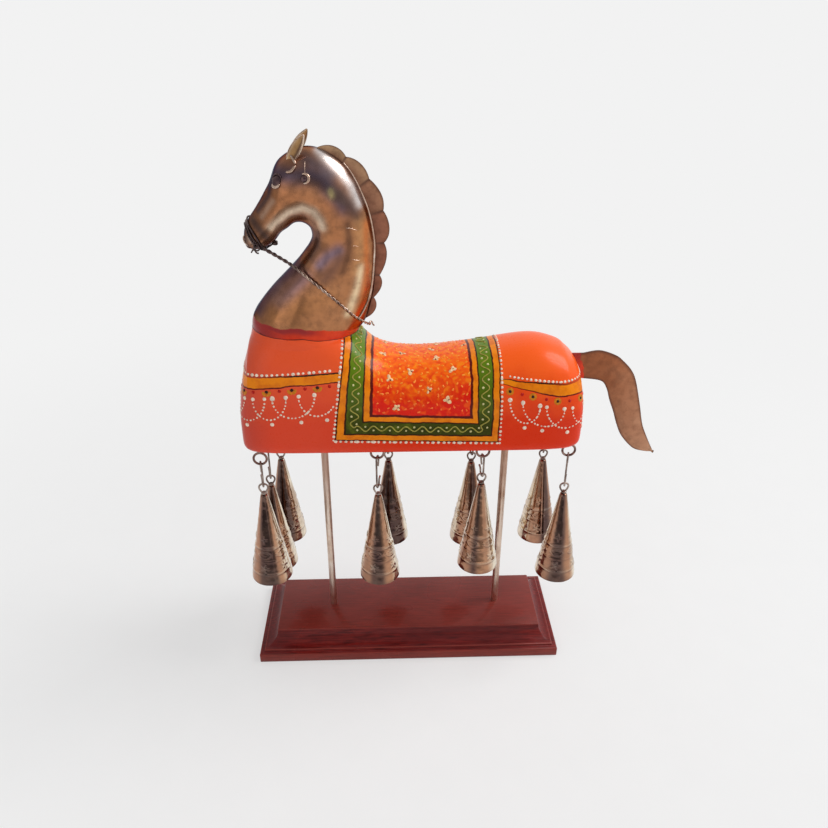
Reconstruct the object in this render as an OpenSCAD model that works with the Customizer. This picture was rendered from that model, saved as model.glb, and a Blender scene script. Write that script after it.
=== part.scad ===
// Horse figurine: a carved and painted wooden body on two rods over a moulded base, with a
// sheet-metal head, mane, ears and tail, a wire noseband and rein, and cone bells under the body.
// Millimetres. +X runs to the tail, the horse's left side faces -Y and +Z is up.
// The origin is the middle of the underside of the base.

/* [Base] */
// Length of the base
base_l = 200; // [190:1:230]
// Width of the base
base_w = 73; // [65:1:100]
// Thickness of the lower slab of the base
slab_h = 6.5; // [4:0.5:10]
// Ledge between the side of the slab and the foot of the moulding
ledge = 3; // [1:0.5:5]
// Radius of the hollow moulding
cove_r = 8.5; // [6:0.5:11]
// Height of the small flats under and over the hollow moulding
flat_h = 1.5; // [0.5:0.5:3]

/* [Rods] */
// Diameter of both rods
rod_d = 4.5; // [3:0.5:7]
// Distance of the front rod from the middle of the base
front_rod_x = 52; // [45:1:60]
// Distance of the rear rod from the middle of the base
rear_rod_x = 61; // [52:1:70]
// Clear height from the base to the body
stand_h = 143; // [125:1:180]
// Depth of the rod holes in the base
base_hole = 12; // [6:1:14]
// Depth of the rod holes in the body
body_hole = 28; // [15:1:38]
// Gap round a rod in its hole
rod_fit = 0.05; // [0.02:0.01:0.1]

/* [Body] */
// Length of the body
body_l = 197.5; // [192:0.5:230]
// Width of the body
body_w = 66; // [62:1:80]
// Middle of the body, measured from the middle of the base
body_x = 2.25; // [-5:0.25:8]
// Height of the body at the dip of the saddle
saddle_h = 50; // [46:1:55]
// Height of the body at the rump
rump_h = 58.5; // [54:0.5:64]
// Height of the seat that the neck stands on
seat_h = 65; // [62:1:70]
// Height of the widest level of the body
side_h = 16; // [12:1:20]

/* [Head and neck] */
// Distance from the front of the body to the middle of the neck
neck_in = 38.5; // [37:0.5:43]
// Thickness of the sheet metal of the head and neck
shell_t = 1; // [0.6:0.1:1.4]
// Height of the wooden tenon inside the neck
tenon_h = 10; // [5:1:14]
// Gap between the tenon and the neck shell
tenon_gap = 0.4; // [0.2:0.1:1]
// Radius of the eye bosses
eye_r = 2.2; // [1.5:0.1:3]
// Radius of the bridle bosses
boss_r = 2.6; // [1.5:0.1:3.5]

/* [Mane, ears and tail] */
// Thickness of the mane, ears and tail sheet
leaf_t = 0.9; // [0.6:0.1:1.5]
// Gap beside a sheet in its slot or seam
leaf_fit = 0.05; // [0.02:0.01:0.1]
// Width of the mane at its widest scallop, from the back of the neck
mane_w = 9.3; // [9:0.1:12]
// Depth of the mane inside the seam
mane_root = 1; // [0.5:0.1:2]
// Length of an ear above the head
ear_h = 14; // [11:1:20]
// Length of leaf that is cut off below the foot of an ear
ear_cut = 4.9; // [4:0.1:7]
// Width of an ear
ear_w = 7.5; // [6:0.5:11]
// Radius that an ear is curled to
ear_curl = 6.5; // [6.1:0.1:9]
// Height of the tail's root above the underside of the body
tail_h = 39.5; // [36:0.5:41]
// Depth of the tail in the body
tail_in = 12; // [8:1:16]

/* [Wires] */
// Diameter of the noseband wire
nose_wire = 1.5; // [1:0.1:2]
// Diameter of the twisted rein wire
rein_wire = 1.7; // [1:0.1:1.8]
// Gap between a wire and what it lies on
wire_gap = 0.1; // [0.05:0.05:0.3]

/* [Bells] */
// Distances of the left bells along the body, the first two from its chest and the others from its rump
left_in = [9.25, 77.75, 56.75, 5.25]; // [5:0.25:90]
// Distances of the right bells along the body, the first two from its chest and the others from its rump
right_in = [12.75, 84.25, 58.25, 10.25]; // [5:0.25:90]
// Distances of the left bells from the middle of the body
left_y = [25.5, 21, 21, 21]; // [18:0.5:27]
// Distances of the right bells from the middle of the body
right_y = [26.5, 21, 21, 21]; // [18:0.5:27]
// Distance of the chest bell along the body, from its chest
chest_in = 9.25; // [7:0.25:12]
// Lengths of the wire links on the left side
left_link = [17, 22, 15, 23]; // [12:1:30]
// Lengths of the wire links on the right side
right_link = [25, 24, 26, 25]; // [12:1:30]
// Length of the wire link at the chest
chest_link = 28; // [12:1:30]
// Height of a bell
bell_h = 61; // [50:1:65]
// Diameter of a bell's mouth
mouth_d = 26; // [20:0.5:26.5]
// Diameter of a bell's top
crown_d = 4.4; // [4:0.1:6]
// Thickness of a bell's sheet metal
bell_t = 0.7; // [0.5:0.1:1]
// Distances of the raised rings from a bell's top
ring_drops = [35.5, 44.5, 53.5]; // [32:0.5:58]
// Height of the raised rings round a bell
bead = 0.35; // [0.1:0.05:0.6]
// Diameter of a clapper's ball
ball_d = 7; // [5:0.5:9]
// Distance from a bell's top to the middle of its clapper's ball
ball_drop = 49; // [40:1:50]

/* [Bell wires] */
// Radius of a screw eye's ring
eye_ring = 3.8; // [3:0.1:5]
// Diameter of a screw eye's wire
eye_wire = 1.4; // [1:0.1:1.8]
// Length of a screw eye in the wood
eye_in = 8; // [5:1:12]
// Clear length of a screw eye's neck under the wood
eye_neck = 2; // [1:0.5:4]
// Diameter of the wire of links and bell eyes
link_wire = 1.2; // [0.8:0.1:1.4]
// Radius of a link's round ends
link_r = 2; // [1.8:0.1:2.6]
// Opening in the side of a link
link_slit = 0.7; // [0.3:0.1:0.8]
// Radius of the loop on top of a bell
loop_r = 3.2; // [2.6:0.1:4]
// Radius of the hook inside a bell
hook_r = 1.5; // [1.3:0.1:1.6]
// Depth of the hook's middle inside a bell
hook_drop = 10; // [9:0.5:14]
// Diameter of the knot that holds up a bell's top
knot_d = 2.2; // [1.8:0.1:2.4]
// Height of that knot
knot_h = 1.2; // [0.8:0.1:2]
// Diameter of a clapper's wire
clapper_wire = 1; // [0.6:0.1:1.1]
// Gap between two wires that hang in each other
hang_gap = 0.15; // [0.1:0.05:0.3]
// Gap round a wire in its hole
hole_fit = 0.05; // [0.02:0.01:0.1]

/* [Hidden] */
$fn = 48;
plateau_z = slab_h + 2 * flat_h + cove_r;
body_z = plateau_z + stand_h;
front = -body_l / 2;
rear = body_l / 2;
seat_z = body_z + seat_h;
neck_x = body_x + front + neck_in;
sides = ["left", "right"];
chains = concat([for (s = sides, k = [1:4]) str(s, "_", k)], ["chest"]);

// Length that a cut runs on by past an open face
over = 1;

// Each hanging bell: place along the body, place across it and length of its link
function along(ins, k) = body_x + (k < 2 ? front + ins[k] : rear - ins[k]);
hangs = concat(
    [for (k = [0:3]) [along(left_in, k), -left_y[k], left_link[k]]],
    [for (k = [0:3]) [along(right_in, k), right_y[k], right_link[k]]],
    [[body_x + front + chest_in, 0, chest_link]]);

// Heights along a hanging chain, from the underside of the body down
ring_low = -eye_neck - eye_wire / 2 - 2 * eye_ring;
link_top = ring_low + (eye_wire + link_wire) / 2 + hang_gap;
function link_low(l) = link_top - l;
function loop_top(l) = link_low(l) + link_wire + hang_gap;
function bell_top(l) = loop_top(l) - 2 * loop_r - link_wire / 2 - hang_gap;

// The line of the back from the chest to the rump: place along the body and height
back_line = [
    [front, side_h], [front + 0.3, 26], [front + 1.3, 38], [front + 3.5, 50], [front + 6, 58],
    [front + 8.5, seat_h], [front + 20, seat_h + 12], [front + 38.5, seat_h + 14],
    [front + 56.5, seat_h + 10], [front + 68.5, seat_h - 1], [front + 80.5, saddle_h + 3.5],
    [front + 102, saddle_h], [rear - 65, saddle_h + 3], [rear - 31, rump_h],
    [rear - 14, rump_h - 3.5], [rear - 8, rump_h - 7.7], [rear - 3, rump_h - 13],
    [rear - 1, rump_h - 20.5], [rear - 0.3, 26], [rear, side_h]];
// How square the body is in plan, at the ends of its underside, over its crown and below its sides
plan_n = 10;
end_n = 12;
crown_n = 2.4;
floor_n = 8;
// Depth that the rounded underside is planed flat by
planed = 2;
// Depth that the tenon is sunk into the carved block by
tenon_sink = 2;
body_sides = 40;
body_steps = 2;
body_end = 0.15;

// Sections of the neck and head from the seat to the lips, measured from the middle of the seat:
// throat side x and z, crest side x and z, half width
neck_line = [
    [-30, 0, 30, 0, 24.5], [-28.5, 10, 35, 8, 22], [-19, 23, 39, 23, 18.5],
    [-2.5, 40, 40.2, 40, 16], [5.8, 51, 39.8, 54, 15.5], [6.2, 57.5, 35.5, 72, 15.5],
    [2.8, 60.8, 25, 91, 15.5], [-1.8, 60.8, 8, 99.3, 15.3], [-6, 57.8, -7.5, 93.5, 14.3],
    [-9.7, 55.2, -14.5, 80.5, 12.5], [-14, 50.3, -21.5, 69.5, 10], [-19.5, 47, -27.8, 60.5, 8.5],
    [-25, 46.8, -29.6, 53, 6.5], [-29, 49, -29, 49, 0]];
neck_rings = 38;
neck_arc = 14;
// How much fuller the throat side of a section is than the crest side
fullness = 0.12;
// Sections beyond the mane that its gap in the seam runs on for
seam_run = 0.35;
// Last section of the outside and of the inside before the lips close
outer_end = 12.85;
inner_end = 12.2;
// Sections of the neck at the notches and the scallop tips of the mane in turn, from its foot to its head
mane_at = [
    0.84, 1.31, 1.72, 2.14, 2.48, 3.08, 3.67, 4.13, 4.6, 4.96, 5.35, 5.67, 6.03, 6.41, 6.8];
// How far each of them falls short of the widest scallop
mane_short = [9.4, 5.7, 8.5, 5.1, 6.7, 3.1, 4.4, 0.5, 1.8, 0, 2.5, 2.3, 6.1, 5.3, 9.7];
mane_line = [for (i = [0:len(mane_at) - 1]) [mane_at[i], mane_w - mane_short[i]]];
scallop_steps = 8;
scallops = (len(mane_line) - 1) / 2;
mane_foot = mane_line[0][0];
mane_head = mane_line[2 * scallops][0];
// Sections at the noseband, and sections and angles at the eyes, the bosses and the ears
nose_at = 10.9;
eye_at = [8.25, 62];
boss_at = [6.9, 72];
ear_at = [7.45, 34];
// Angles that the ears lean out and back by, and that the hollow of their curl is turned by
ear_tilt = 8;
ear_lean = 32;
ear_turn = 150;

// Upper and lower edge of the tail from the middle of its root
tail_top = [
    [0, 8], [9.5, 9.5], [19.4, 6.3], [24.7, 2.3], [30.2, -3.7], [33.9, -11.2], [38.7, -27.7],
    [42, -40.3], [45.8, -49], [50.2, -57.6], [52, -60.8]];
tail_low = [
    [0, -8.3], [11.9, -10.1], [16.2, -14.9], [19.1, -23.1], [22.6, -31.5], [25.7, -40.1],
    [30, -48.8], [38.2, -57.7], [46, -60.3], [52, -60.8]];
// Distance of the tail's root from the end of the body
tail_out = 2.5;
tail_x = body_x + rear + tail_out;
tail_z = body_z + tail_h;
tail_inner = tail_in + tail_out;

// Route of the rein from the muzzle along the left side to the foot of the mane,
// from the middle of the seat
rein_line = [
    [-18.6, -9.3, 49.2], [-12, -11.2, 45.9], [-3.2, -13.4, 40.8], [7.4, -18.6, 33.5],
    [16, -19.3, 26], [23.7, -17.1, 18], [28.9, -13.7, 11.7], [32.7, -8.7, 7.2],
    [35.3, -3.2, 3.6], [36.2, 0, 2.2], [36, 2.2, 1.6]];

wood_paint = [0.95, 0.33, 0.1];
lacquer = [0.4, 0.13, 0.12];
bronze = [0.55, 0.4, 0.3];
steel = [0.62, 0.52, 0.42];
bell_metal = [0.6, 0.48, 0.36];

// Point on a smooth curve through the points p, with t from 0 to the last index
function spline(p, t) =
    let (n = len(p) - 1, i = min(floor(t), n - 1), f = t - i,
         a = p[max(i - 1, 0)], b = p[i], c = p[i + 1], d = p[min(i + 2, n)])
    (2 * b + (c - a) * f + (2 * a - 5 * b + 4 * c - d) * f * f
     + (3 * b - a - 3 * c + d) * f * f * f) / 2;

function unit(v) = v / norm(v);

// Solid skinned over rings that turn anticlockwise round their direction of travel
module skin(rings, closed = false) {
    n = len(rings[0]);
    m = len(rings);
    last = closed ? m - 1 : m - 2;
    walls = [for (i = [0:last], k = [0:n - 1])
        let (a = i * n + k, b = i * n + (k + 1) % n, c = ((i + 1) % m) * n + (k + 1) % n,
             d = ((i + 1) % m) * n + k)
        each [[a, d, c], [a, c, b]]];
    points = concat([for (r = rings) each r], [mean(rings[0]), mean(rings[m - 1])]);
    caps = closed ? [] : [for (k = [0:n - 1]) each [
        [m * n, k, (k + 1) % n],
        [m * n + 1, (m - 1) * n + (k + 1) % n, (m - 1) * n + k]]];
    polyhedron(closed ? [for (r = rings) each r] : points, concat(walls, caps));
}

function mean(p) = sum(p) / len(p);
function sum(p, i = 0) = i == len(p) - 1 ? p[i] : p[i] + sum(p, i + 1);

// Rings of a round tube along a path; up is a direction that the path never runs in
function tube_rings(path, d, n, up, closed = false) = [for (i = [0:len(path) - 1])
    let (m = len(path), before = closed ? path[(i + m - 1) % m] : path[max(i - 1, 0)],
         after = closed ? path[(i + 1) % m] : path[min(i + 1, m - 1)],
         t = unit(after - before), u = unit(cross(t, up)), v = cross(t, u))
    [for (k = [0:n - 1]) path[i] + d / 2 * (u * cos(360 * k / n) + v * sin(360 * k / n))]];

// Point on the neck at section t and angle a from the crest, sunk by depth, on the left side
function neck_point(t, a, depth = 0) =
    let (s = spline(neck_line, t), f = [s[0], s[1]], b = [s[2], s[3]], half = (b - f) / 2,
         l = norm(half), p = (f + b) / 2 + half * (max(l - depth, 0) / l) * cos(a),
         y = max(s[4] - depth, 0) * sin(a) * (1 - fullness * cos(a)),
         seam = a < 90 && t < mane_head + seam_run ? leaf_t / 2 + leaf_fit : 0)
    [neck_x + p[0], -max(y, seam), seat_z + p[1]];

// Middle of the crest at section t, moved out from the neck by d
function crest(t, d) =
    let (s = spline(neck_line, t), f = [s[0], s[1]], b = [s[2], s[3]], p = b + unit(b - f) * d)
    [neck_x + p[0], seat_z + p[1]];

function neck_tip(t) =
    let (s = spline(neck_line, t))
    [neck_x + (s[0] + s[2]) / 2, 0, seat_z + (s[1] + s[3]) / 2];

// Plate in the middle plane of the horse, from an outline in x and z
module plate(t, outline) rotate([90, 0, 0]) linear_extrude(t, center = true) polygon(outline);

// Wire ring in the plane that runs along the horse, with its middle at the origin
module ring(r, d) rotate([90, 0, 0]) rotate_extrude() translate([r, 0]) circle(d = d);

module moulding(l) {
    foot = l / 2 - ledge;
    cove_z = slab_h + flat_h + cove_r;
    translate([-l / 2, 0]) square([l, slab_h]);
    difference() {
        translate([-foot, 0]) square([2 * foot, plateau_z]);
        for (s = [-1, 1]) translate([s * foot, cove_z]) {
            circle(cove_r);
            translate([-cove_r, 0]) square([2 * cove_r, cove_r]);
        }
    }
}

module rod_place(x) translate([x, 0, plateau_z]) children();

module base_plaque() color(lacquer) difference() {
    intersection() {
        rotate([90, 0, 0]) linear_extrude(base_w + 2 * over, center = true) moulding(base_l);
        rotate([90, 0, 90]) linear_extrude(base_l + 2 * over, center = true) moulding(base_w);
    }
    for (x = [-front_rod_x, rear_rod_x])
        rod_place(x) translate([0, 0, -base_hole])
            cylinder(d = rod_d + 2 * rod_fit, h = base_hole + over);
}

module rod(x) color(steel) rod_place(x)
    translate([0, 0, -base_hole]) cylinder(d = rod_d, h = base_hole + stand_h + body_hole);
module front_rod() rod(-front_rod_x);
module rear_rod() rod(rear_rod_x);

function body_ring(t) =
    let (p = spline(back_line, t), e = abs(p[0] / rear), r = pow(1 - pow(e, plan_n), 1 / plan_n),
         q = pow(1 - pow(e, end_n), 1 / end_n))
    [for (k = [0:body_sides - 1])
        let (a = 360 * k / body_sides, c = cos(a), s = sin(a), n = s < 0 ? floor_n : crown_n,
             lift = s < 0 ? -(side_h + planed) * q : p[1] - side_h,
             z = side_h + lift * pow(abs(s), 2 / n))
        [body_x + p[0], body_w / 2 * r * sign(c) * pow(abs(c), 2 / n), body_z + max(0, min(z, seat_h))]];

module carved_block() {
    last = len(back_line) - 1;
    n = last * body_steps;
    skin([for (i = [0:n]) body_ring(max(body_end, min(last - body_end, i / body_steps)))]);
}

// Upright tenon that fits the neck shell at its own top
module tenon() {
    inset = shell_t + tenon_gap;
    top = [for (k = [0:neck_arc * 2 - 1])
        let (a = 180 * k / neck_arc, low = neck_point(0, min(a, 360 - a), inset),
             high = neck_point(tenon_h / neck_line[1][3], min(a, 360 - a), inset))
        [cos(a) > 0 ? low[0] : high[0], (a > 180 ? -1 : 1) * min(abs(low[1]), abs(high[1]))]];
    translate([0, 0, seat_z - tenon_sink]) linear_extrude(tenon_h + tenon_sink) polygon(top);
}

module body() color(wood_paint) difference() {
    union() {
        carved_block();
        tenon();
    }
    for (x = [-front_rod_x, rear_rod_x])
        translate([x, 0, body_z - over]) cylinder(d = rod_d + 2 * rod_fit, h = body_hole + over);
    for (h = hangs)
        translate([h[0], h[1], body_z - over])
            cylinder(d = eye_wire + 2 * hole_fit, h = eye_in + over, $fn = 24);
    slot_h = tail_top[0][1] - tail_low[0][1] + 2 * leaf_fit;
    translate([tail_x - tail_inner - leaf_fit, -leaf_t / 2 - leaf_fit, tail_z + tail_low[0][1] - leaf_fit])
        cube([2 * tail_inner, leaf_t + 2 * leaf_fit, slot_h]);
}

// Left half of the head and neck: an outer and an inner skin joined along the seam and the hem
module half_shell() {
    m = neck_rings;
    n = neck_arc;
    w = n + 1;
    outer = [for (i = [0:m], k = [0:n]) neck_point(outer_end * i / m, 180 * k / n)];
    inner = [for (i = [0:m], k = [0:n]) neck_point(inner_end * i / m, 180 * k / n, shell_t)];
    o = 0;
    q = (m + 1) * w;
    tip = 2 * q;
    cells = [for (i = [0:m - 1], k = [0:n - 1])
        let (a = i * w + k, b = a + 1, c = a + w + 1, d = a + w)
        each [[o + a, o + b, o + c], [o + a, o + c, o + d],
              [q + a, q + c, q + b], [q + a, q + d, q + c]]];
    lips = [for (k = [0:n - 1])
        let (a = m * w + k)
        each [[o + a, o + a + 1, tip], [q + a, tip + 1, q + a + 1]]];
    hem = [for (k = [0:n - 1]) each [[o + k, q + k, q + k + 1], [o + k, q + k + 1, o + k + 1]]];
    seams = [for (i = [0:m])
        let (a = i * w, b = a + n,
             oa = i < m ? a + w : tip, qa = i < m ? q + a + w : tip + 1,
             ob = i < m ? b + w : tip, qb = i < m ? q + b + w : tip + 1)
        each [[a, oa, qa], [a, qa, q + a], [q + b, qb, ob], [q + b, ob, b]]];
    polyhedron(concat(outer, inner, [neck_tip(outer_end), neck_tip(inner_end)]),
               concat(cells, lips, hem, seams));
}

module pressed_half() color(bronze) difference() {
    union() {
        half_shell();
        translate(neck_point(eye_at[0], eye_at[1], eye_r / 2)) sphere(eye_r, $fn = 24);
        translate(neck_point(boss_at[0], boss_at[1], boss_r / 2)) sphere(boss_r, $fn = 24);
    }
    ear_place() ear(leaf_fit);
}

module neck_left_half() pressed_half();
module neck_right_half() mirror([0, 1, 0]) pressed_half();

// Point on the edge of scallop i of the mane, with f from 0 at one notch to 1 at the next
function scallop(i, f) =
    let (e = mane_line[2 * i] * (1 - f) * (1 - 2 * f) + mane_line[2 * i + 1] * 4 * f * (1 - f)
             + mane_line[2 * i + 2] * f * (2 * f - 1))
    crest(e[0], e[1]);

module mane() color(bronze) {
    edge = [for (i = [0:scallops - 1], k = [0:scallop_steps - 1]) scallop(i, k / scallop_steps)];
    steps = 40;
    run = mane_head - mane_foot;
    root = [for (i = [steps:-1:0]) crest(mane_foot + run * i / steps, -mane_root)];
    plate(leaf_t, concat(edge, [scallop(scallops - 1, 1)], root));
}

// Curled leaf that stands on the head with its foot let into the shell, grown all round by gap
module ear(gap = 0) {
    half_w = ear_w / 2 + gap;
    leaf = ear_h + ear_cut;
    arc = (leaf * leaf / 4 + half_w * half_w) / (2 * half_w);
    intersection() {
        translate([0, ear_curl, -ear_cut]) difference() {
            cylinder(r = ear_curl + gap, h = leaf);
            translate([0, 0, -over]) cylinder(r = ear_curl - leaf_t - gap, h = leaf + 2 * over);
        }
        rotate([90, 0, 0]) translate([0, leaf / 2 - ear_cut])
            linear_extrude(2 * ear_curl, center = true) intersection() {
                translate([arc - half_w, 0]) circle(arc);
                translate([half_w - arc, 0]) circle(arc);
            }
        translate([-ear_w, -ear_curl, -2 * shell_t - gap]) cube([2 * ear_w, 2 * ear_curl, 2 * ear_h]);
    }
}

module ear_place()
    translate(neck_point(ear_at[0], ear_at[1])) rotate([ear_tilt, ear_lean, 0]) rotate(ear_turn) children();
module left_ear() color(bronze) ear_place() ear();
module right_ear() mirror([0, 1, 0]) left_ear();

module noseband() color(steel) {
    clear = -nose_wire / 2 - wire_gap;
    n = 32;
    s = spline(neck_line, nose_at);
    path = [for (k = [0:n - 1])
        let (a = 360 * (k + 0.5) / n, p = neck_point(nose_at, min(a, 360 - a), clear))
        [p[0], a > 180 ? p[1] : -p[1], p[2]]];
    skin(tube_rings(path, nose_wire, 6, cross([s[2] - s[0], 0, s[3] - s[1]], [0, 1, 0]), true), true);
}

module rein() color(steel) {
    steps = 40;
    last = len(rein_line) - 1;
    path = [for (i = [0:steps]) spline(rein_line, last * i / steps)];
    translate([neck_x, 0, seat_z]) skin(tube_rings(path, rein_wire, 8, [0, 0, 1]));
}

module tail() color(bronze) {
    steps = 30;
    top = [for (i = [0:steps]) spline(tail_top, (len(tail_top) - 1) * i / steps)];
    low = [for (i = [steps - 1:-1:0]) spline(tail_low, (len(tail_low) - 1) * i / steps)];
    tang = [[-tail_inner, tail_low[0][1]], [-tail_inner, tail_top[0][1]]];
    translate([tail_x, 0, tail_z]) plate(leaf_t, concat(top, low, tang));
}

module screw_eye() {
    translate([0, 0, ring_low + eye_ring]) ring(eye_ring, eye_wire);
    translate([0, 0, -eye_neck - eye_wire / 2]) cylinder(d = eye_wire, h = eye_neck + eye_wire / 2 + eye_in);
}

module hang(k) translate([hangs[k][0], hangs[k][1], body_z]) children();

module screw_eyes() color(steel) for (k = [0:len(hangs) - 1]) hang(k) screw_eye();

// Long wire link across the horse, with a slit in one side
module link(k) color(steel) hang(k) {
    top = link_top - link_r;
    low = link_low(hangs[k][2]) + link_r;
    slit = (top + low) / 2;
    translate([0, 0, top]) rotate([90, 0, 90])
        rotate_extrude(angle = 180) translate([link_r, 0]) circle(d = link_wire);
    translate([0, 0, low]) rotate([-90, 0, 90])
        rotate_extrude(angle = 180) translate([link_r, 0]) circle(d = link_wire);
    translate([0, link_r, low]) cylinder(d = link_wire, h = top - low);
    translate([0, -link_r, low]) cylinder(d = link_wire, h = slit - link_slit / 2 - low);
    translate([0, -link_r, slit + link_slit / 2]) cylinder(d = link_wire, h = top - slit - link_slit / 2);
}

// Wire loop on a bell's top, with a stem through the top, a knot under it and a hook inside
module bell_eye(k) color(steel) hang(k) {
    z = bell_top(hangs[k][2]);
    translate([0, 0, loop_top(hangs[k][2]) - loop_r]) ring(loop_r, link_wire);
    translate([0, 0, z - hook_drop + hook_r])
        cylinder(d = link_wire, h = hook_drop - hook_r + link_wire / 2 + hang_gap);
    translate([0, 0, z - bell_t - hole_fit - knot_h]) cylinder(d = knot_d, h = knot_h);
    translate([0, 0, z - hook_drop]) ring(hook_r, clapper_wire);
}

// Radius of the outside of a bell at the height z under its top
function wall(z) = crown_d / 2 - (mouth_d - crown_d) / 2 / bell_h * z;

module bell(k) color(bell_metal) hang(k) translate([0, 0, bell_top(hangs[k][2])]) {
    beads = [for (drop = ring_drops) let (z = -drop) each [
        [wall(z + bead), z + bead], [wall(z) + bead, z], [wall(z - bead), z - bead]]];
    rotate_extrude() polygon(concat(
        [[link_wire / 2 + hole_fit, 0], [crown_d / 2, 0]], beads,
        [[mouth_d / 2, -bell_h], [mouth_d / 2 - bell_t, -bell_h],
         [wall(-bell_t) - bell_t, -bell_t], [link_wire / 2 + hole_fit, -bell_t]]));
}

module clapper(k) color(steel) hang(k) {
    z = bell_top(hangs[k][2]);
    pivot = z - hook_drop - hook_r;
    eye = pivot + clapper_wire + hang_gap - hook_r;
    translate([0, 0, eye]) rotate(90) ring(hook_r, clapper_wire);
    translate([0, 0, z - ball_drop]) cylinder(d = clapper_wire, h = eye - hook_r - z + ball_drop);
    translate([0, 0, z - ball_drop]) sphere(d = ball_d);
}

base_plaque();
front_rod();
rear_rod();
body();
neck_left_half();
neck_right_half();
mane();
left_ear();
right_ear();
noseband();
rein();
tail();
screw_eyes();
for (k = [0:len(chains) - 1]) {
    link(k);
    bell_eye(k);
    bell(k);
    clapper(k);
}
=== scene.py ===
import bpy
import bmesh
import math
import random
from mathutils import Matrix, Vector, noise
from mathutils.bvhtree import BVHTree


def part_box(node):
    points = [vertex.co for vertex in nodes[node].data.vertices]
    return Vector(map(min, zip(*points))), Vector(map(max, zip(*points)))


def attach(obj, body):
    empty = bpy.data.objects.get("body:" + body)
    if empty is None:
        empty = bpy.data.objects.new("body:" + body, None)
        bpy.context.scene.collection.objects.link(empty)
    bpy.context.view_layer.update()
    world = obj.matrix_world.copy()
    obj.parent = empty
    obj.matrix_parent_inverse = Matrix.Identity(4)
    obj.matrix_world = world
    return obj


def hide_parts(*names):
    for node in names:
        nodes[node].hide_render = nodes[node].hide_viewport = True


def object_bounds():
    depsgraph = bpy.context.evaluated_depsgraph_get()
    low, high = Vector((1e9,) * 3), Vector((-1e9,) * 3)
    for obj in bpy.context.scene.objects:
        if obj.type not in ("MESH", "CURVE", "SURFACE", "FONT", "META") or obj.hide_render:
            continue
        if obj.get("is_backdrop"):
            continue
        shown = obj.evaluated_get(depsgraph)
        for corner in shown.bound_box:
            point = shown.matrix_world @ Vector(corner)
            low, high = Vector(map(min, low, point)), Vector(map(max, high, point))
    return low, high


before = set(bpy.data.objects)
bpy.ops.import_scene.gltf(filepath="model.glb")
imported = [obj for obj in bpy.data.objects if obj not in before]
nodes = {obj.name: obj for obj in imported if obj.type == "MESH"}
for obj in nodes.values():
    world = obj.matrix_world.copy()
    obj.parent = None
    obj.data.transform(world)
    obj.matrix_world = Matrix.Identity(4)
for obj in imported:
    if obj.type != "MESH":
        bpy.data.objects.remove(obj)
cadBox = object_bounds()
mm = 0.001  # sizes below are in millimetres, the finished meshes in metres
random.seed(11)
print("frame loaded:", len(nodes), "nodes")


# small helpers for meshes

def curveAt(points, t):
    last = len(points) - 1
    i = min(int(t), last - 1)
    f = t - i
    rows = points[max(i - 1, 0)], points[i], points[i + 1], points[min(i + 2, last)]
    return [(2 * b + (c - a) * f + (2 * a - 5 * b + 4 * c - d) * f ** 2
             + (3 * b - a - 3 * c + d) * f ** 3) / 2 for a, b, c, d in zip(*rows)]


def smoothCurve(points, steps):
    last = len(points) - 1
    return [Vector(curveAt(points, last * i / steps)) for i in range(steps + 1)]


def addPiece(name, bm, material, body="figure", stands=(), sharp=70):
    for face in bm.faces:
        face.smooth = True
    for edge in bm.edges:
        if len(edge.link_faces) == 2 and edge.calc_face_angle(0) > math.radians(sharp):
            edge.smooth = False
    bmesh.ops.scale(bm, vec=(mm, mm, mm), verts=bm.verts)
    mesh = bpy.data.meshes.new(name)
    bm.to_mesh(mesh)
    bm.free()
    piece = bpy.data.objects.new(name, mesh)
    bpy.context.scene.collection.objects.link(piece)
    mesh.materials.append(material)
    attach(piece, body)
    if stands:
        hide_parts(*stands)


def turnOut(bm, probe, outward):
    # a face whose outer side is known settles which way an open shell points
    bmesh.ops.recalc_face_normals(bm, faces=bm.faces)
    if probe.normal.dot(outward) < 0:
        bmesh.ops.reverse_faces(bm, faces=bm.faces)


def loft(bm, rings, closed=True, caps=True):
    # rings are lists of points; the first is laid out, the others are extruded from it
    place = bm.verts.layers.int.get("place") or bm.verts.layers.int.new("place")
    count = len(rings[0])
    if closed:
        verts = bmesh.ops.create_circle(bm, segments=count, radius=1)["verts"]
    else:
        verts = [bm.verts.new(p) for p in rings[0]]
        for a, b in zip(verts, verts[1:]):
            bm.edges.new((a, b))
    for k, v in enumerate(verts):
        v[place] = k
        v.co = rings[0][k]
    edges = list(dict.fromkeys(e for v in verts for e in v.link_edges))  # in the same order every run
    ends = [edges]
    made = list(verts)
    for ring in rings[1:]:
        out = bmesh.ops.extrude_edge_only(bm, edges=edges)["geom"]
        fresh = [g for g in out if isinstance(g, bmesh.types.BMVert)]
        pool = set(fresh)
        edges = [g for g in out if isinstance(g, bmesh.types.BMEdge) and set(g.verts) <= pool]
        for v in fresh:
            v.co = ring[v[place]]
        made += fresh
    ends.append(edges)
    if caps and closed:
        for loop in ends:
            bmesh.ops.edgeloop_fill(bm, edges=loop)
    return made, ends


def frames(path, loop=False):
    count = len(path)
    out = []
    side = None
    for i, p in enumerate(path):
        before = path[i - 1] if i or loop else path[0]
        after = path[(i + 1) % count] if i < count - 1 or loop else path[-1]
        run = (after - before).normalized()
        if side is None:
            side = run.orthogonal().normalized()
        side = (side - run * side.dot(run)).normalized()
        out.append((p, side.copy(), run.cross(side)))
    return out


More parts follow.
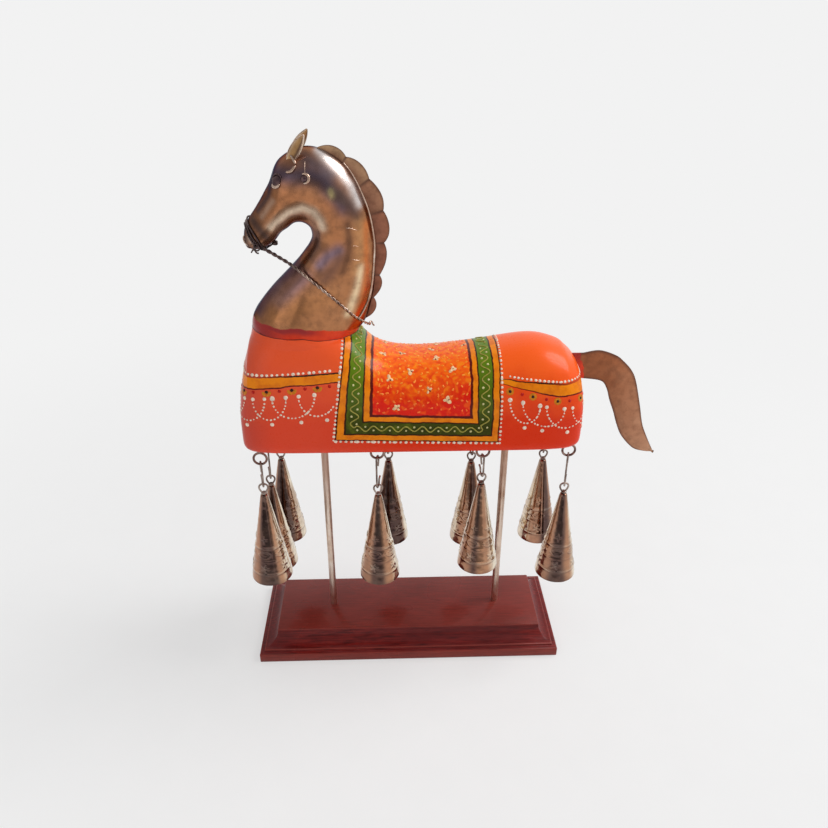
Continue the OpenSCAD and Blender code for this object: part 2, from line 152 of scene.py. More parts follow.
def wire(bm, path, radius, sides=8, loop=False):
    # round wire along a path; radius is a number or a function of the share run so far
    thick = radius if callable(radius) else (lambda share: radius)
    last = len(path) - 1
    rings = []
    for i, (p, u, v) in enumerate(frames(path, loop)):
        r = thick(i / last)
        rings.append([p + r * (u * math.cos(a) + v * math.sin(a))
                      for a in (2 * math.pi * k / sides for k in range(sides))])
    made, ends = loft(bm, rings, caps=not loop)
    if loop:
        bmesh.ops.bridge_loops(bm, edges=ends[0] + ends[1])
    bmesh.ops.recalc_face_normals(bm, faces=list(dict.fromkeys(f for v in made for f in v.link_faces)))


def pathLength(path):
    marks = [0.0]
    for a, b in zip(path, path[1:]):
        marks.append(marks[-1] + (b - a).length)
    return marks


def walk(path, distance, marks):
    for i in range(1, len(path)):
        if marks[i] >= distance or i == len(path) - 1:
            share = (distance - marks[i - 1]) / max(marks[i] - marks[i - 1], 1e-9)
            return path[i - 1].lerp(path[i], share), (path[i] - path[i - 1]).normalized()


# small helpers for materials

def srgb(r, g, b):
    return tuple(((c / 255 + 0.055) / 1.055) ** 2.4 if c > 10 else c / 3294 for c in (r, g, b)) + (1.0,)


def newMaterial(name):
    material = bpy.data.materials.new(name)
    material.use_nodes = True
    tree = material.node_tree
    return material, tree, tree.nodes["Principled BSDF"]


def add(tree, kind, inputs=None, **settings):
    made = tree.nodes.new("ShaderNode" + kind)
    for key, value in settings.items():
        setattr(made, key, value)
    for key, value in (inputs or {}).items():
        feed(tree, made.inputs[key], value)
    return made


def feed(tree, socket, value):
    if isinstance(value, bpy.types.NodeSocket):
        tree.links.new(value, socket)
    else:
        socket.default_value = value


def calc(tree, operation, a, b=0.0, c=None):
    inputs = {0: a, 1: b}
    if c is not None:
        inputs[2] = c
    return add(tree, "Math", inputs, operation=operation).outputs[0]


def plus(tree, a, b):
    return calc(tree, "ADD", a, b)


def minus(tree, a, b):
    return calc(tree, "SUBTRACT", a, b)


def times(tree, a, b):
    return calc(tree, "MULTIPLY", a, b)


def remap(tree, value, low, high, outLow=0.0, outHigh=1.0):
    return add(tree, "MapRange", {0: value, 1: low, 2: high, 3: outLow, 4: outHigh},
               interpolation_type="SMOOTHSTEP").outputs[0]


def stripe(tree, value, rise, fall):
    return times(tree, remap(tree, value, *rise), remap(tree, value, *fall, 1, 0))


def ramp(tree, value, stops):
    made = add(tree, "ValToRGB", {0: value})
    points = made.color_ramp.elements
    while len(points) < len(stops):
        points.new(1.0)
    for point, (at, colour) in zip(points, stops):
        point.position = at
        point.color = colour
    return made.outputs[0]


def mix(tree, share, below, above):
    return add(tree, "Mix", {0: share, 6: below, 7: above}, data_type="RGBA").outputs[2]


def place(tree, scale=(1, 1, 1)):
    return add(tree, "Mapping", {0: add(tree, "TexCoord").outputs["Object"], 3: scale}).outputs[0]


def axes(tree, where=None):
    return add(tree, "SeparateXYZ", {0: where or add(tree, "TexCoord").outputs["Object"]}).outputs


def cloud(tree, where, scale, detail=3.0, rough=0.55, twist=0.0):
    return add(tree, "TexNoise", {0: where, 2: scale, 3: detail, 4: rough, 8: twist}).outputs[0]


def wander(tree, where, scale, detail, reach):
    # a soft noise about zero, for hand-drawn edges
    return times(tree, minus(tree, cloud(tree, where, scale, detail), 0.5), reach)


def bump(tree, shader, height, strength=0.3, depth=0.001):
    made = add(tree, "Bump", {"Strength": strength, "Distance": depth, "Height": height})
    tree.links.new(made.outputs[0], shader.inputs["Normal"])


def tintOver(tree, shader, share, colour):
    under = shader.inputs["Base Color"].links[0].from_socket
    feed(tree, shader.inputs["Base Color"], mix(tree, share, under, colour))


# camera: the photograph's viewing angle, worked out from the base and the body

cameraSet = {"at": (-10.9, -403.37, 393.03), "yaw": 2.079, "pitch": 29.048, "roll": -0.244,
             "focal": 757.2, "frame": 828, "sensor": 36.0, "near": 0.01}


def addCamera(spec):
    yaw, pitch, roll = (math.radians(spec[k]) for k in ("yaw", "pitch", "roll"))
    ahead = Vector((math.sin(yaw) * math.cos(pitch), math.cos(yaw) * math.cos(pitch), -math.sin(pitch)))
    right = Vector((math.cos(yaw), -math.sin(yaw), 0))
    down = ahead.cross(right)
    across = math.cos(roll) * right + math.sin(roll) * down
    down = -math.sin(roll) * right + math.cos(roll) * down
    data = bpy.data.cameras.new("camera")
    data.sensor_width = spec["sensor"]
    data.lens = spec["sensor"] * spec["focal"] / spec["frame"]
    data.clip_start = spec["near"]
    camera = bpy.data.objects.new("camera", data)
    turn = Matrix((across, -down, -ahead)).transposed().to_4x4()
    camera.matrix_world = Matrix.Translation(Vector(spec["at"]) * mm) @ turn
    bpy.context.scene.collection.objects.link(camera)
    bpy.context.scene.camera = camera


addCamera(cameraSet)
print("camera placed")

# floor, world and lamps

studio = {"pale": 0.888, "floorSize": 9.0, "worldLevel": 0.62, "dimFront": 0.74, "dimLeft": 0.45,
          "dimOver": 0.55, "overFrom": (-0.38, -0.25, 0.89), "card": 0.88, "aim": (0, 0, 0.2),
          "keyAt": (1.45, 0.25, 1.76), "keySize": 1.3, "keyPower": 28.0,
          "sideAt": (-1.2, -1.3, 0.9), "sideSize": 1.2, "sidePower": 1.6}


def addLamp(name, at, size, power, aim):
    data = bpy.data.lights.new(name, "AREA")
    data.shape = "DISK"
    data.size = size
    data.energy = power
    lamp = bpy.data.objects.new(name, data)
    lamp.location = at
    lamp.rotation_euler = (Vector(aim) - Vector(at)).to_track_quat("-Z", "Y").to_euler()
    bpy.context.scene.collection.objects.link(lamp)


def showBackground(tree, dim):
    # share of the pale background that a ray sees: all of it for the camera and glass, less for metal
    path = add(tree, "LightPath").outputs
    clear = calc(tree, "MAXIMUM", path["Is Camera Ray"], path["Is Transmission Ray"])
    glossy = path["Is Glossy Ray"]
    return plus(tree, clear, glossy), calc(tree, "MULTIPLY_ADD", glossy, minus(tree, 1.0, dim), clear)


def leftDim(tree, spec, split, near, far):
    # metal mirrors a dimmer room on the left, as in an ordinary studio
    return remap(tree, times(tree, split[0], -1.0), near, far, 0.0, spec["dimLeft"])


def addWorld(spec, pale):
    world = bpy.data.worlds.new("studio")
    world.use_nodes = True
    bpy.context.scene.world = world
    tree = world.node_tree
    background = tree.nodes["Background"]
    background.inputs["Color"].default_value = pale
    direction = add(tree, "TexCoord").outputs["Generated"]
    split = axes(tree, direction)
    front = remap(tree, times(tree, split[1], -1.0), 0.4, 0.95, 0.0, spec["dimFront"])
    front = times(tree, front, remap(tree, split[2], 0.05, 0.3))
    dim = calc(tree, "MAXIMUM", front, leftDim(tree, spec, split, 0.4, 0.95))
    over = add(tree, "VectorMath", {0: direction, 1: spec["overFrom"]}, operation="DOT_PRODUCT")
    over = remap(tree, over.outputs["Value"], 0.5, 0.92, 0.0, spec["dimOver"])
    seen, shown = showBackground(tree, calc(tree, "MAXIMUM", dim, over))
    level = calc(tree, "MULTIPLY_ADD", minus(tree, 1.0, seen), spec["worldLevel"], shown)
    feed(tree, background.inputs["Strength"], level)


def addFloor(spec, pale):
    material, tree, shader = newMaterial("pale_floor")
    shader.inputs["Roughness"].default_value = 0.9
    shader.inputs["Specular IOR Level"].default_value = 0.1
    grain = cloud(tree, place(tree), 40.0)
    feed(tree, shader.inputs["Base Color"], ramp(tree, grain, [
        (0.3, (0.86, 0.86, 0.86, 1)), (0.7, (0.88, 0.88, 0.88, 1))]))
    # a dark card lies on the floor in front, seen by metal alone
    where = place(tree)
    split = axes(tree, where)
    ahead = times(tree, split[1], -1.0)
    card = times(tree, remap(tree, ahead, 0.19, 0.25), remap(tree, ahead, 0.62, 0.45))
    card = times(tree, card, remap(tree, split[0], -0.42, -0.32))
    card = times(tree, card, remap(tree, split[0], 0.24, 0.15, 0.0, spec["card"]))
    seen, shown = showBackground(tree, calc(tree, "MAXIMUM", card, leftDim(tree, spec, split, 0.9, 1.8)))
    glow = add(tree, "Emission", {0: pale, 1: shown})
    far = add(tree, "VectorMath", {0: where}, operation="LENGTH").outputs["Value"]
    share = times(tree, seen, remap(tree, far, 0.12, 0.7, 0.55, 1.0))
    both = add(tree, "MixShader", {0: share, 1: shader.outputs[0], 2: glow.outputs[0]})
    tree.links.new(both.outputs[0], tree.nodes["Material Output"].inputs["Surface"])
    bm = bmesh.new()
    bmesh.ops.create_grid(bm, x_segments=2, y_segments=2, size=spec["floorSize"])
    mesh = bpy.data.meshes.new("floor")
    bm.to_mesh(mesh)
    bm.free()
    floor = bpy.data.objects.new("floor", mesh)
    mesh.materials.append(material)
    bpy.context.scene.collection.objects.link(floor)
    floor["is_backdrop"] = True


paleColour = (studio["pale"],) * 3 + (1.0,)
addWorld(studio, paleColour)
for lampName in ("key", "side"):
    addLamp(lampName, *(studio[lampName + part] for part in ("At", "Size", "Power")), studio["aim"])
addFloor(studio, paleColour)
bpy.context.scene.view_settings.view_transform = "Standard"
print("floor, world and lamps set")

# lacquered base plaque

plaque = {"length": 200.0, "width": 73.0, "slab": 6.5, "ledge": 3.0, "cove": 8.5, "flat": 1.5,
          "coveSteps": 10, "edge": 0.55}


def lacquerMaterial():
    material, tree, shader = newMaterial("lacquered_wood")
    grain = cloud(tree, place(tree, (6, 60, 60)), 14.0, 6.0, 0.6, 0.4)
    fine = cloud(tree, place(tree, (8, 260, 260)), 9.0, 3.0)
    patch = cloud(tree, place(tree), 22.0, 2.0)
    colour = ramp(tree, grain, [(0.3, srgb(72, 16, 16)), (0.5, srgb(112, 28, 26)),
                                (0.72, srgb(134, 40, 34))])
    colour = mix(tree, remap(tree, patch, 0.45, 0.7, 0, 0.4), colour, srgb(84, 26, 28))
    colour = mix(tree, remap(tree, fine, 0.6, 0.8, 0, 0.4), colour, srgb(54, 12, 12))
    wearAndShade = add(tree, "NewGeometry").outputs["Pointiness"]
    colour = mix(tree, remap(tree, wearAndShade, 0.53, 0.6, 0, 0.5), colour, srgb(168, 78, 64))
    feed(tree, shader.inputs["Base Color"], colour)
    feed(tree, shader.inputs["Roughness"], remap(tree, patch, 0.3, 0.7, 0.22, 0.4))
    shader.inputs["Specular IOR Level"].default_value = 0.16
    shader.inputs["Coat Weight"].default_value = 0.12
    shader.inputs["Coat Roughness"].default_value = 0.1
    bump(tree, shader, plus(tree, fine, grain), 0.12, 0.0004)
    return material


def setStep(verts, half, inset, z):
    for v in verts:
        v.co = (math.copysign(half.x - inset, v.co.x), math.copysign(half.y - inset, v.co.y), z)


def buildPlaque(spec):
    bm = bmesh.new()
    bmesh.ops.create_cube(bm, size=1)
    half = Vector((spec["length"] / 2, spec["width"] / 2))
    setStep([v for v in bm.verts if v.co.z > 0], half, 0, spec["slab"])
    setStep([v for v in bm.verts if v.co.z < 0], half, 0, 0)
    rise = spec["slab"] + spec["flat"]
    steps = [(spec["ledge"], spec["slab"]), (spec["ledge"], rise)]
    for i in range(1, spec["coveSteps"] + 1):
        a = math.pi / 2 * i / spec["coveSteps"]
        steps.append((spec["ledge"] + spec["cove"] * math.sin(a), rise + spec["cove"] * (1 - math.cos(a))))
    steps.append((steps[-1][0], steps[-1][1] + spec["flat"]))
    top = max(bm.faces, key=lambda f: f.calc_center_median().z)
    for inset, z in steps:
        out = bmesh.ops.extrude_face_region(bm, geom=[top])["geom"]
        bmesh.ops.delete(bm, geom=[top], context="FACES")
        top = next(g for g in out if isinstance(g, bmesh.types.BMFace))
        setStep(top.verts, half, inset, z)
    bmesh.ops.recalc_face_normals(bm, faces=bm.faces)
    crisp = [e for e in bm.edges if e.calc_face_angle(0) > math.radians(30)]
    bmesh.ops.bevel(bm, geom=crisp, offset=spec["edge"], affect="EDGES", segments=2, profile=0.5, material=-1)
    addPiece("base_lacquered", bm, lacquerMaterial(), stands=["base_plaque"], sharp=50)


buildPlaque(plaque)
print("base made")

# metals: three tones from dark to light, in clouds under fine brushed lines

def metalMaterial(name, tones, grain, rough=(0.25, 0.42), brushed=(1, 1, 1), tinted=False, bumps=0.12):
    material, tree, shader = newMaterial(name)
    shader.inputs["Metallic"].default_value = 1.0
    dark, middle, light = (srgb(*tone) for tone in tones)
    large = cloud(tree, place(tree), grain, 4.0, 0.6, 0.6)
    lines = cloud(tree, place(tree, brushed), 220.0, 4.0, 0.6)
    colour = ramp(tree, large, [(0.3, dark), (0.5, middle), (0.72, light)])
    if tinted:
        # the attribute holds patina tones together with painted reflections, highlights and shade
        tint = add(tree, "Attribute", attribute_name="patinaAndPaintedLight").outputs["Color"]
        colour = mix(tree, 0.88, colour, tint)
    colour = mix(tree, remap(tree, lines, 0.35, 0.75, 0.0, 0.35), colour, dark)
    feed(tree, shader.inputs["Base Color"], colour)
    feed(tree, shader.inputs["Roughness"], remap(tree, times(tree, large, lines), 0.12, 0.42, *rough))
    bump(tree, shader, plus(tree, times(tree, large, 2.0), lines), bumps, 0.0006)
    return material, tree, shader


def rodMaterial():
    tones = (176, 146, 126), (228, 206, 188), (246, 236, 226)
    material, tree, shader = metalMaterial("rod_steel", tones, 30.0, brushed=(6, 6, 0.4))
    # painted shade and reddish reflection of the body, stronger towards the top of each rod
    bodyReflectionShade = remap(tree, axes(tree)[2], 0.085, 0.15, 0.0, 0.75)  # towards the body
    tintOver(tree, shader, bodyReflectionShade, srgb(182, 134, 110))
    return material


def dress(name, material):
    slots = nodes[name].data.materials
    slots.clear()
    slots.append(material)


wireMetal = metalMaterial("wire_steel", ((96, 78, 72), (160, 140, 130), (214, 200, 190)), 120.0)[0]
eyeMetal = metalMaterial("screw_eye_iron", ((92, 66, 60), (148, 114, 104), (204, 180, 168)), 160.0)[0]
rodMetal = rodMaterial()
for name in ("front_rod", "rear_rod"):
    dress(name, rodMetal)
dress("screw_eyes", eyeMetal)
print("rods and screw eyes dressed")

# carved body: the same line of the back and the same sections as the solid, with finer steps

carving = {"low": 161.0, "middle": 2.25, "length": 197.5, "width": 66.0, "side": 16.0, "saddle": 50.0,
           "rump": 58.5, "seat": 65.0, "plan": 10, "ends": 12, "crown": 2.4, "floor": 8, "planed": 2.0,
           "sides": 112, "steps": 7, "ease": 5}


def backLine(spec):
    f, r = -spec["length"] / 2, spec["length"] / 2
    seat, saddle, rump, side = (spec[k] for k in ("seat", "saddle", "rump", "side"))
    return [(f, side), (f + 0.3, 26), (f + 1.3, 38), (f + 3.5, 50), (f + 6, 58), (f + 8.5, seat),
            (f + 20, seat + 12), (f + 38.5, seat + 14), (f + 56.5, seat + 10), (f + 68.5, seat - 1),
            (f + 80.5, saddle + 3.5), (f + 102, saddle), (r - 65, saddle + 3), (r - 31, rump),
            (r - 14, rump - 3.5), (r - 8, rump - 7.7), (r - 3, rump - 13), (r - 1, rump - 20.5),
            (r - 0.3, 26), (r, side)]


def bodyRing(spec, line, t):
    x, top = curveAt(line, t)
    share = min(abs(x) / (spec["length"] / 2), 0.99999)
    wide = (1 - share ** spec["plan"]) ** (1 / spec["plan"]) * spec["width"] / 2
    deep = (1 - share ** spec["ends"]) ** (1 / spec["ends"])
    ring = []
    for k in range(spec["sides"]):
        a = 2 * math.pi * (k + 0.5) / spec["sides"]
        c, s = math.cos(a), math.sin(a)
        n = spec["floor"] if s < 0 else spec["crown"]
        lift = -(spec["side"] + spec["planed"]) * deep if s < 0 else top - spec["side"]
        z = spec["side"] + lift * abs(s) ** (2 / n)
        y = wide * math.copysign(abs(c) ** (2 / n), c)
        ring.append(Vector((spec["middle"] + x, y, spec["low"] + max(0, min(z, spec["seat"])))))
    return ring


def buildBody(spec):
    line = backLine(spec)
    last = len(line) - 1
    stops = [0.02, 0.06, 0.15, 0.3, 0.5, 0.75]
    count = (last - 2) * spec["steps"]
    inner = [1 + (last - 2) * i / count for i in range(count + 1)]
    stops = stops + inner + [last - s for s in reversed(stops)]
    bm = bmesh.new()
    loft(bm, [bodyRing(spec, line, t) for t in stops])
    bmesh.ops.recalc_face_normals(bm, faces=bm.faces)
    for again in range(spec["ease"]):
        bmesh.ops.smooth_vert(bm, verts=bm.verts, factor=0.5, use_axis_x=True, use_axis_y=True,
                              use_axis_z=True)
    return bm


bodyMesh = buildBody(carving)
bodyTree = BVHTree.FromBMesh(bodyMesh)
print("body carved:", len(bodyMesh.faces), "faces")

# paint on the body: flat bands, the saddle cloth and its worn colours are one material

cloth = {"leftTop": -35.3, "leftLean": 0.127, "leftPanel": -20.2, "panelLean": 0.036, "leanFrom": 222.0,
         "right": 50.5, "rightPanel": 35.1, "low": 170.0, "lowPanel": 185.3, "slope": -0.03}
# upper and lower edge of each belt: height, slope and, on the rump, the least height
belts = {"front": ((208.4, 0.06), (203.1, 0.085)), "rump": ((204.6, -0.1, 201.2), (202.7, -0.215, 195.9)),
         "frontFrom": -80.0, "frontMost": -97.0, "frontEnd": -41.5, "rumpFrom": 52.6}
paints = {"red": srgb(255, 96, 22), "shadedRed": srgb(230, 50, 0), "yellow": srgb(246, 138, 0),
          "ochre": srgb(226, 114, 0), "green": srgb(96, 128, 4), "shadedGreen": srgb(58, 62, 2),
          "line": srgb(48, 14, 4), "redLine": srgb(92, 6, 0), "panel": srgb(255, 106, 0),
          "panelLow": srgb(232, 26, 0), "cream": srgb(255, 234, 212), "vine": srgb(176, 164, 72)}


def paintMaterial():
    material, tree, shader = newMaterial("painted_wood")
    where = place(tree, (1000, 1000, 1000))  # in millimetres
    split = axes(tree, where)
    stray = plus(tree, wander(tree, where, 0.11, 2.0, 1.5), wander(tree, where, 0.5, 2.0, 0.6))
    x = plus(tree, split[0], stray)
    z = minus(tree, split[2], stray)
    # depth: 0 at the border of the cloth, 1 at the border of its panel
    drop = calc(tree, "MAXIMUM", minus(tree, cloth["leanFrom"], z), 0.0)
    outer = calc(tree, "MULTIPLY_ADD", drop, -cloth["leftLean"], cloth["leftTop"])
    inner = calc(tree, "MULTIPLY_ADD", drop, -cloth["panelLean"], cloth["leftPanel"])
    left = calc(tree, "DIVIDE", minus(tree, x, outer), minus(tree, inner, outer))
    right = calc(tree, "DIVIDE", minus(tree, cloth["right"], x), cloth["right"] - cloth["rightPanel"])
    tilt = calc(tree, "MULTIPLY_ADD", x, cloth["slope"], cloth["low"])
    low = calc(tree, "DIVIDE", minus(tree, z, tilt), cloth["lowPanel"] - cloth["low"])
    depth = calc(tree, "MINIMUM", calc(tree, "MINIMUM", left, right), low)

    speck = cloud(tree, where, 0.9, 4.0, 0.65)
    broad = cloud(tree, where, 0.045, 3.0)
    # painted shade: the red turns darker towards the bottom of the body, along a wavering height
    level = calc(tree, "MULTIPLY_ADD", minus(tree, broad, 0.5), 40.0, z)
    red = mix(tree, remap(tree, level, 178.0, 214.0), paints["shadedRed"], paints["red"])
    # painted shade: a duller, pinker red over the front half and a maroon tint at the chest's end, which
    # faces away from the key lamp
    red = mix(tree, remap(tree, x, 0.0, -60.0, 0.0, 0.6), red, srgb(232, 84, 56))
    red = mix(tree, remap(tree, x, -74.0, -98.0, 0.0, 0.5), red, srgb(160, 70, 66))
    red = mix(tree, remap(tree, speck, 0.6, 0.8, 0, 0.1), red, srgb(255, 112, 44))
    blotch = cloud(tree, where, 0.16, 3.0)
    yellow = mix(tree, remap(tree, blotch, 0.4, 0.65), paints["yellow"], paints["ochre"])
    # painted shade: the green border turns darker towards the bottom
    green = mix(tree, remap(tree, z, 174.0, 220.0), paints["shadedGreen"], paints["green"])
    green = mix(tree, remap(tree, blotch, 0.5, 0.75, 0, 0.45), green, srgb(116, 128, 8))

    # the belts run round the chest and the rump outside the cloth
    forward = calc(tree, "LESS_THAN", x, 0.0)
    ahead = minus(tree, x, belts["frontFrom"])
    behind = minus(tree, x, belts["rumpFrom"])
    edges = []
    for front, rump in zip(belts["front"], belts["rump"]):
        one = calc(tree, "MULTIPLY_ADD", ahead, front[1], front[0])
        two = calc(tree, "MAXIMUM", calc(tree, "MULTIPLY_ADD", behind, rump[1], rump[0]), rump[2])
        edges.append(plus(tree, times(tree, one, forward), times(tree, two, minus(tree, 1.0, forward))))
    belt = calc(tree, "DIVIDE", minus(tree, edges[0], z), minus(tree, edges[0], edges[1]))
    away = calc(tree, "MAXIMUM", minus(tree, belts["frontEnd"], x), behind)
    inked = stripe(tree, belt, (-0.2, -0.16), (0.0, 0.04))
    inked = times(tree, inked, remap(tree, away, 20.0, 48.0, 1.0, 0.35))
    colour = mix(tree, inked, red, paints["line"])
    colour = mix(tree, stripe(tree, belt, (-0.02, 0.02), (1.0, 1.04)), colour, yellow)
    colour = mix(tree, stripe(tree, belt, (1.0, 1.03), (1.13, 1.18)), colour, paints["redLine"])

    # the panel: orange above, red below and behind, in soft blotches
    fade = minus(tree, z, times(tree, calc(tree, "ABSOLUTE", minus(tree, x, 4.0)), 0.16))
    fade = plus(tree, fade, times(tree, minus(tree, blotch, 0.5), 26.0))
    panel = mix(tree, remap(tree, fade, 186.0, 211.0), paints["panelLow"], paints["panel"])
    flecks = cloud(tree, where, 0.34, 0.0, 0.5, 0.7)
    bright = mix(tree, remap(tree, fade, 184.0, 206.0), srgb(255, 84, 14), srgb(255, 148, 10))
    panel = mix(tree, remap(tree, flecks, 0.52, 0.74, 0, 0.6), panel, bright)
    panel = mix(tree, remap(tree, flecks, 0.48, 0.26, 0, 0.5), panel, srgb(226, 28, 0))

    marks = [-0.045, 0.0, 0.2, 0.252, 0.73, 0.78, 0.955, 1.05]
    layers = [paints["line"], yellow, paints["line"], green, paints["line"], yellow, paints["redLine"], panel]
    for at, layer in zip(marks, layers):
        colour = mix(tree, remap(tree, depth, at - 0.012, at + 0.012), colour, layer)
    feed(tree, shader.inputs["Base Color"], colour)
    feed(tree, shader.inputs["Roughness"], remap(tree, speck, 0.3, 0.75, 0.26, 0.4))
    shader.inputs["Specular IOR Level"].default_value = 0.14
    shader.inputs["Coat Weight"].default_value = 0.13
    shader.inputs["Coat Roughness"].default_value = 0.1
    strokes = cloud(tree, add(tree, "Mapping", {0: where, 3: (0.12, 1, 1)}).outputs[0], 0.7, 4.0)
    ridge = remap(tree, depth, -0.015, 0.015)
    bump(tree, shader, plus(tree, times(tree, strokes, 0.6), ridge), 0.18, 0.0005)
    return material


bodyPaint = paintMaterial()
addPiece("body_painted", bodyMesh, bodyPaint, stands=["body"], sharp=60)
print("body painted")

# raised paint on the body: dots, drops, vine and small flowers sit on its surface

dots = {"column": 0.84, "front": 0.92, "rump": 0.8, "bottom": 0.92, "arc": 0.62, "big": 1.3, "drop": 1.2,
        "spot": 1.1, "halo": 2.2, "petal": 1.0, "columnStep": 2.6, "frontStep": 2.9, "rumpStep": 2.45,
        "bottomStep": 3.1, "arcStep": 2.15, "spotStep": 7.1, "height": 0.5, "dashes": 0.1, "clear": 1.4}
# scallops: distance of each middle from the cloth, half width, and how far its drop slips towards the tail
scallop = {"front": [(9.0, 10.6, -4.6), (22.5, 11.8, -3.6), (36.0, 9.4, -0.7), (49.0, 10.5, 0.6),
                     (62.0, 11.2, -1.0), (75.0, 10.8, 0.0)],
           "rump": [(12.0, 8.8, 0.5), (23.0, 12.3, 0.0), (37.0, 12.4, 1.0), (51.0, 11.0, -1.0),
                    (64.0, 11.0, 0.0)],
           "frontDeep": 12.4, "rumpDeep": 11.6, "dropGap": 2.9}
vine = {"period": 9.2, "swing": 1.6, "sideSwing": 2.2, "radius": 0.36, "dot": 0.72, "step": 0.45}
# ends of the body: middle of the turn, and where the rows begin beside the cloth
ends = {"front": (-60.0, -41.5), "rump": (70.0, 52.8),
        "frontSpots": (-60.0, -42.0), "rumpSpots": (70.0, 53.0)}
core = {"back": 192.0, "end": 195.0, "panel": 186.0}  # heights inside the body that rays start from


def paintOf(name, colour, rough=0.35):
    material, tree, shader = newMaterial(name)
    speck = cloud(tree, place(tree), 700.0, 3.0)
    dull = tuple(c * 0.72 for c in colour[:3]) + (1.0,)
    feed(tree, shader.inputs["Base Color"], ramp(tree, speck, [(0.35, dull), (0.6, colour)]))
    feed(tree, shader.inputs["Roughness"], remap(tree, speck, 0.3, 0.7, rough - 0.08, rough + 0.1))
    shader.inputs["Specular IOR Level"].default_value = 0.25
    bump(tree, shader, speck, 0.1, 0.0003)
    return material


def settle(point):
    return bodyTree.find_nearest(point)[:2]


def addDot(bm, point, radius, height=None, fine=False, stretch=1.0, run=None):
    at, normal = settle(point)
    side = (run - normal * run.dot(normal)).normalized() if run else normal.orthogonal().normalized()
    turn = Matrix((side, normal.cross(side), normal)).transposed().to_4x4()
    size = Matrix.Diagonal((radius * stretch, radius, (height or radius * dots["height"]), 1.0))
    bmesh.ops.create_icosphere(bm, subdivisions=2 if fine else 1, radius=1.0,
                               matrix=Matrix.Translation(at) @ turn @ size)


def dotRow(bm, path, step, radius, skip=0.0):
    marks = pathLength(path)
    count = max(1, round((marks[-1] - skip) / step))
    for i in range(count + 1):
        p, run = walk(path, min(skip + (marks[-1] - skip) * i / count, marks[-1]), marks)
        jitter = run * random.uniform(-0.25, 0.25)
        long = 1.9 if random.random() < dots["dashes"] else random.uniform(0.95, 1.25)
        addDot(bm, p + jitter, radius * random.uniform(0.78, 1.18), stretch=long, run=run)


def roundBack(xOf, side, lowest=None):
    # points over the back from its ridge down one side, where x depends on the height
    path = []
    for i in range(121):
        a = math.radians(90 - i * 1.35)
        ray = Vector((0, side * math.cos(a), math.sin(a)))
        z = 210.0
        for again in range(3):
            hit = bodyTree.ray_cast(Vector((xOf(z), 0, core["back"])), ray)[0]
            z = hit.z
        if lowest and z < lowest:
            break
        path.append(hit)
    return path


def roundEnd(end, side, heightAt):
    # points round one end of the body, from the cloth to the middle of the end
    middle, fromX = ends[end]
    start = math.atan2(32.0, fromX - middle)
    stop = math.pi if fromX > middle else 0.0
    path = []
    for i in range(161):
        a = start + (stop - start) * i / 160
        ray = Vector((math.cos(a), side * math.sin(a), 0))
        hit = bodyTree.ray_cast(Vector((middle, 0, core["end"])), ray)[0]
        level = bodyTree.ray_cast(Vector((middle, 0, heightAt(hit.x))), ray)[0]
        path.append(level or hit)
    return path


def leftEdge(z):
    return cloth["leftTop"] - cloth["leftLean"] * max(cloth["leanFrom"] - z, 0)


def leftInner(z):
    return cloth["leftPanel"] - cloth["panelLean"] * max(cloth["leanFrom"] - z, 0)


def bottomEdge(x):
    return cloth["low"] + cloth["slope"] * x


def frontAt(x, edge):
    height, slope = belts["front"][edge]
    return height + slope * (max(x, belts["frontMost"]) - belts["frontFrom"])


def rumpAt(x, edge):
    height, slope, least = belts["rump"][edge]
    return max(height + slope * (x - belts["rumpFrom"]), least)


def scallops(white, side, end, heightAt):
    base = roundEnd(end, side, heightAt)
    marks = pathLength(base)
    deep = scallop[end + "Deep"]
    for centre, half, slip in scallop[end]:
        arc = []
        for k in range(25):
            a = math.pi * k / 24
            along = centre - half * math.cos(a)
            if 0.5 < along < marks[-1] + 2:
                p = walk(base, min(along, marks[-1]), marks)[0] - Vector((0, 0, deep * math.sin(a)))
                arc.append(settle(p)[0])
        if len(arc) > 5:
            dotRow(white, arc, dots["arcStep"], dots["arc"])
        for along in (centre - half, centre + half * 0.98):
            if 1.5 < along < marks[-1]:
                size = dots["big"] * random.uniform(0.8, 1.1)
                addDot(white, walk(base, along, marks)[0] + Vector((0, 0, 0.6)), size, fine=True,
                       stretch=random.uniform(0.9, 1.25), run=Vector((0, 0, 1)))
        if centre < marks[-1]:
            drop = walk(base, centre + slip, marks)[0] - Vector((0, 0, deep + scallop["dropGap"]))
            addDot(white, drop, dots["drop"], fine=True)


def vineSpot(base, s, marks):
    p, run = walk(base, s, marks)
    at, normal = settle(p)
    swing = vine["swing"] if abs(run.x) > 0.7 else vine["sideSwing"]
    return at, normal.cross(run).normalized(), swing


def vineAlong(bm, dotMesh, base):
    marks = pathLength(base)
    path = []
    count = int(marks[-1] / vine["step"])
    for i in range(count + 1):
        s = marks[-1] * i / count
        at, across, swing = vineSpot(base, s, marks)
        wave = math.sin(2 * math.pi * s / vine["period"]) * swing * (1 + 0.15 * math.sin(s * 0.37))
        at, normal = settle(at + across * wave)
        path.append(at + normal * 0.05)
    wire(bm, path, vine["radius"], sides=6)
    half = vine["period"] / 2
    for i in range(int(marks[-1] / half)):
        at, across, swing = vineSpot(base, (i + 0.5) * half, marks)
        sign = -1 if i % 2 == 0 else 1
        addDot(dotMesh, at + across * sign * swing * 0.7, vine["dot"] * random.uniform(0.9, 1.2))


def bottomRow(side, fromX, toX, rise):
    row = []
    for i in range(61):
        x = fromX + (toX - fromX) * i / 60
        row.append(settle(Vector((x, side * 40, bottomEdge(x) + rise)))[0])
    return row


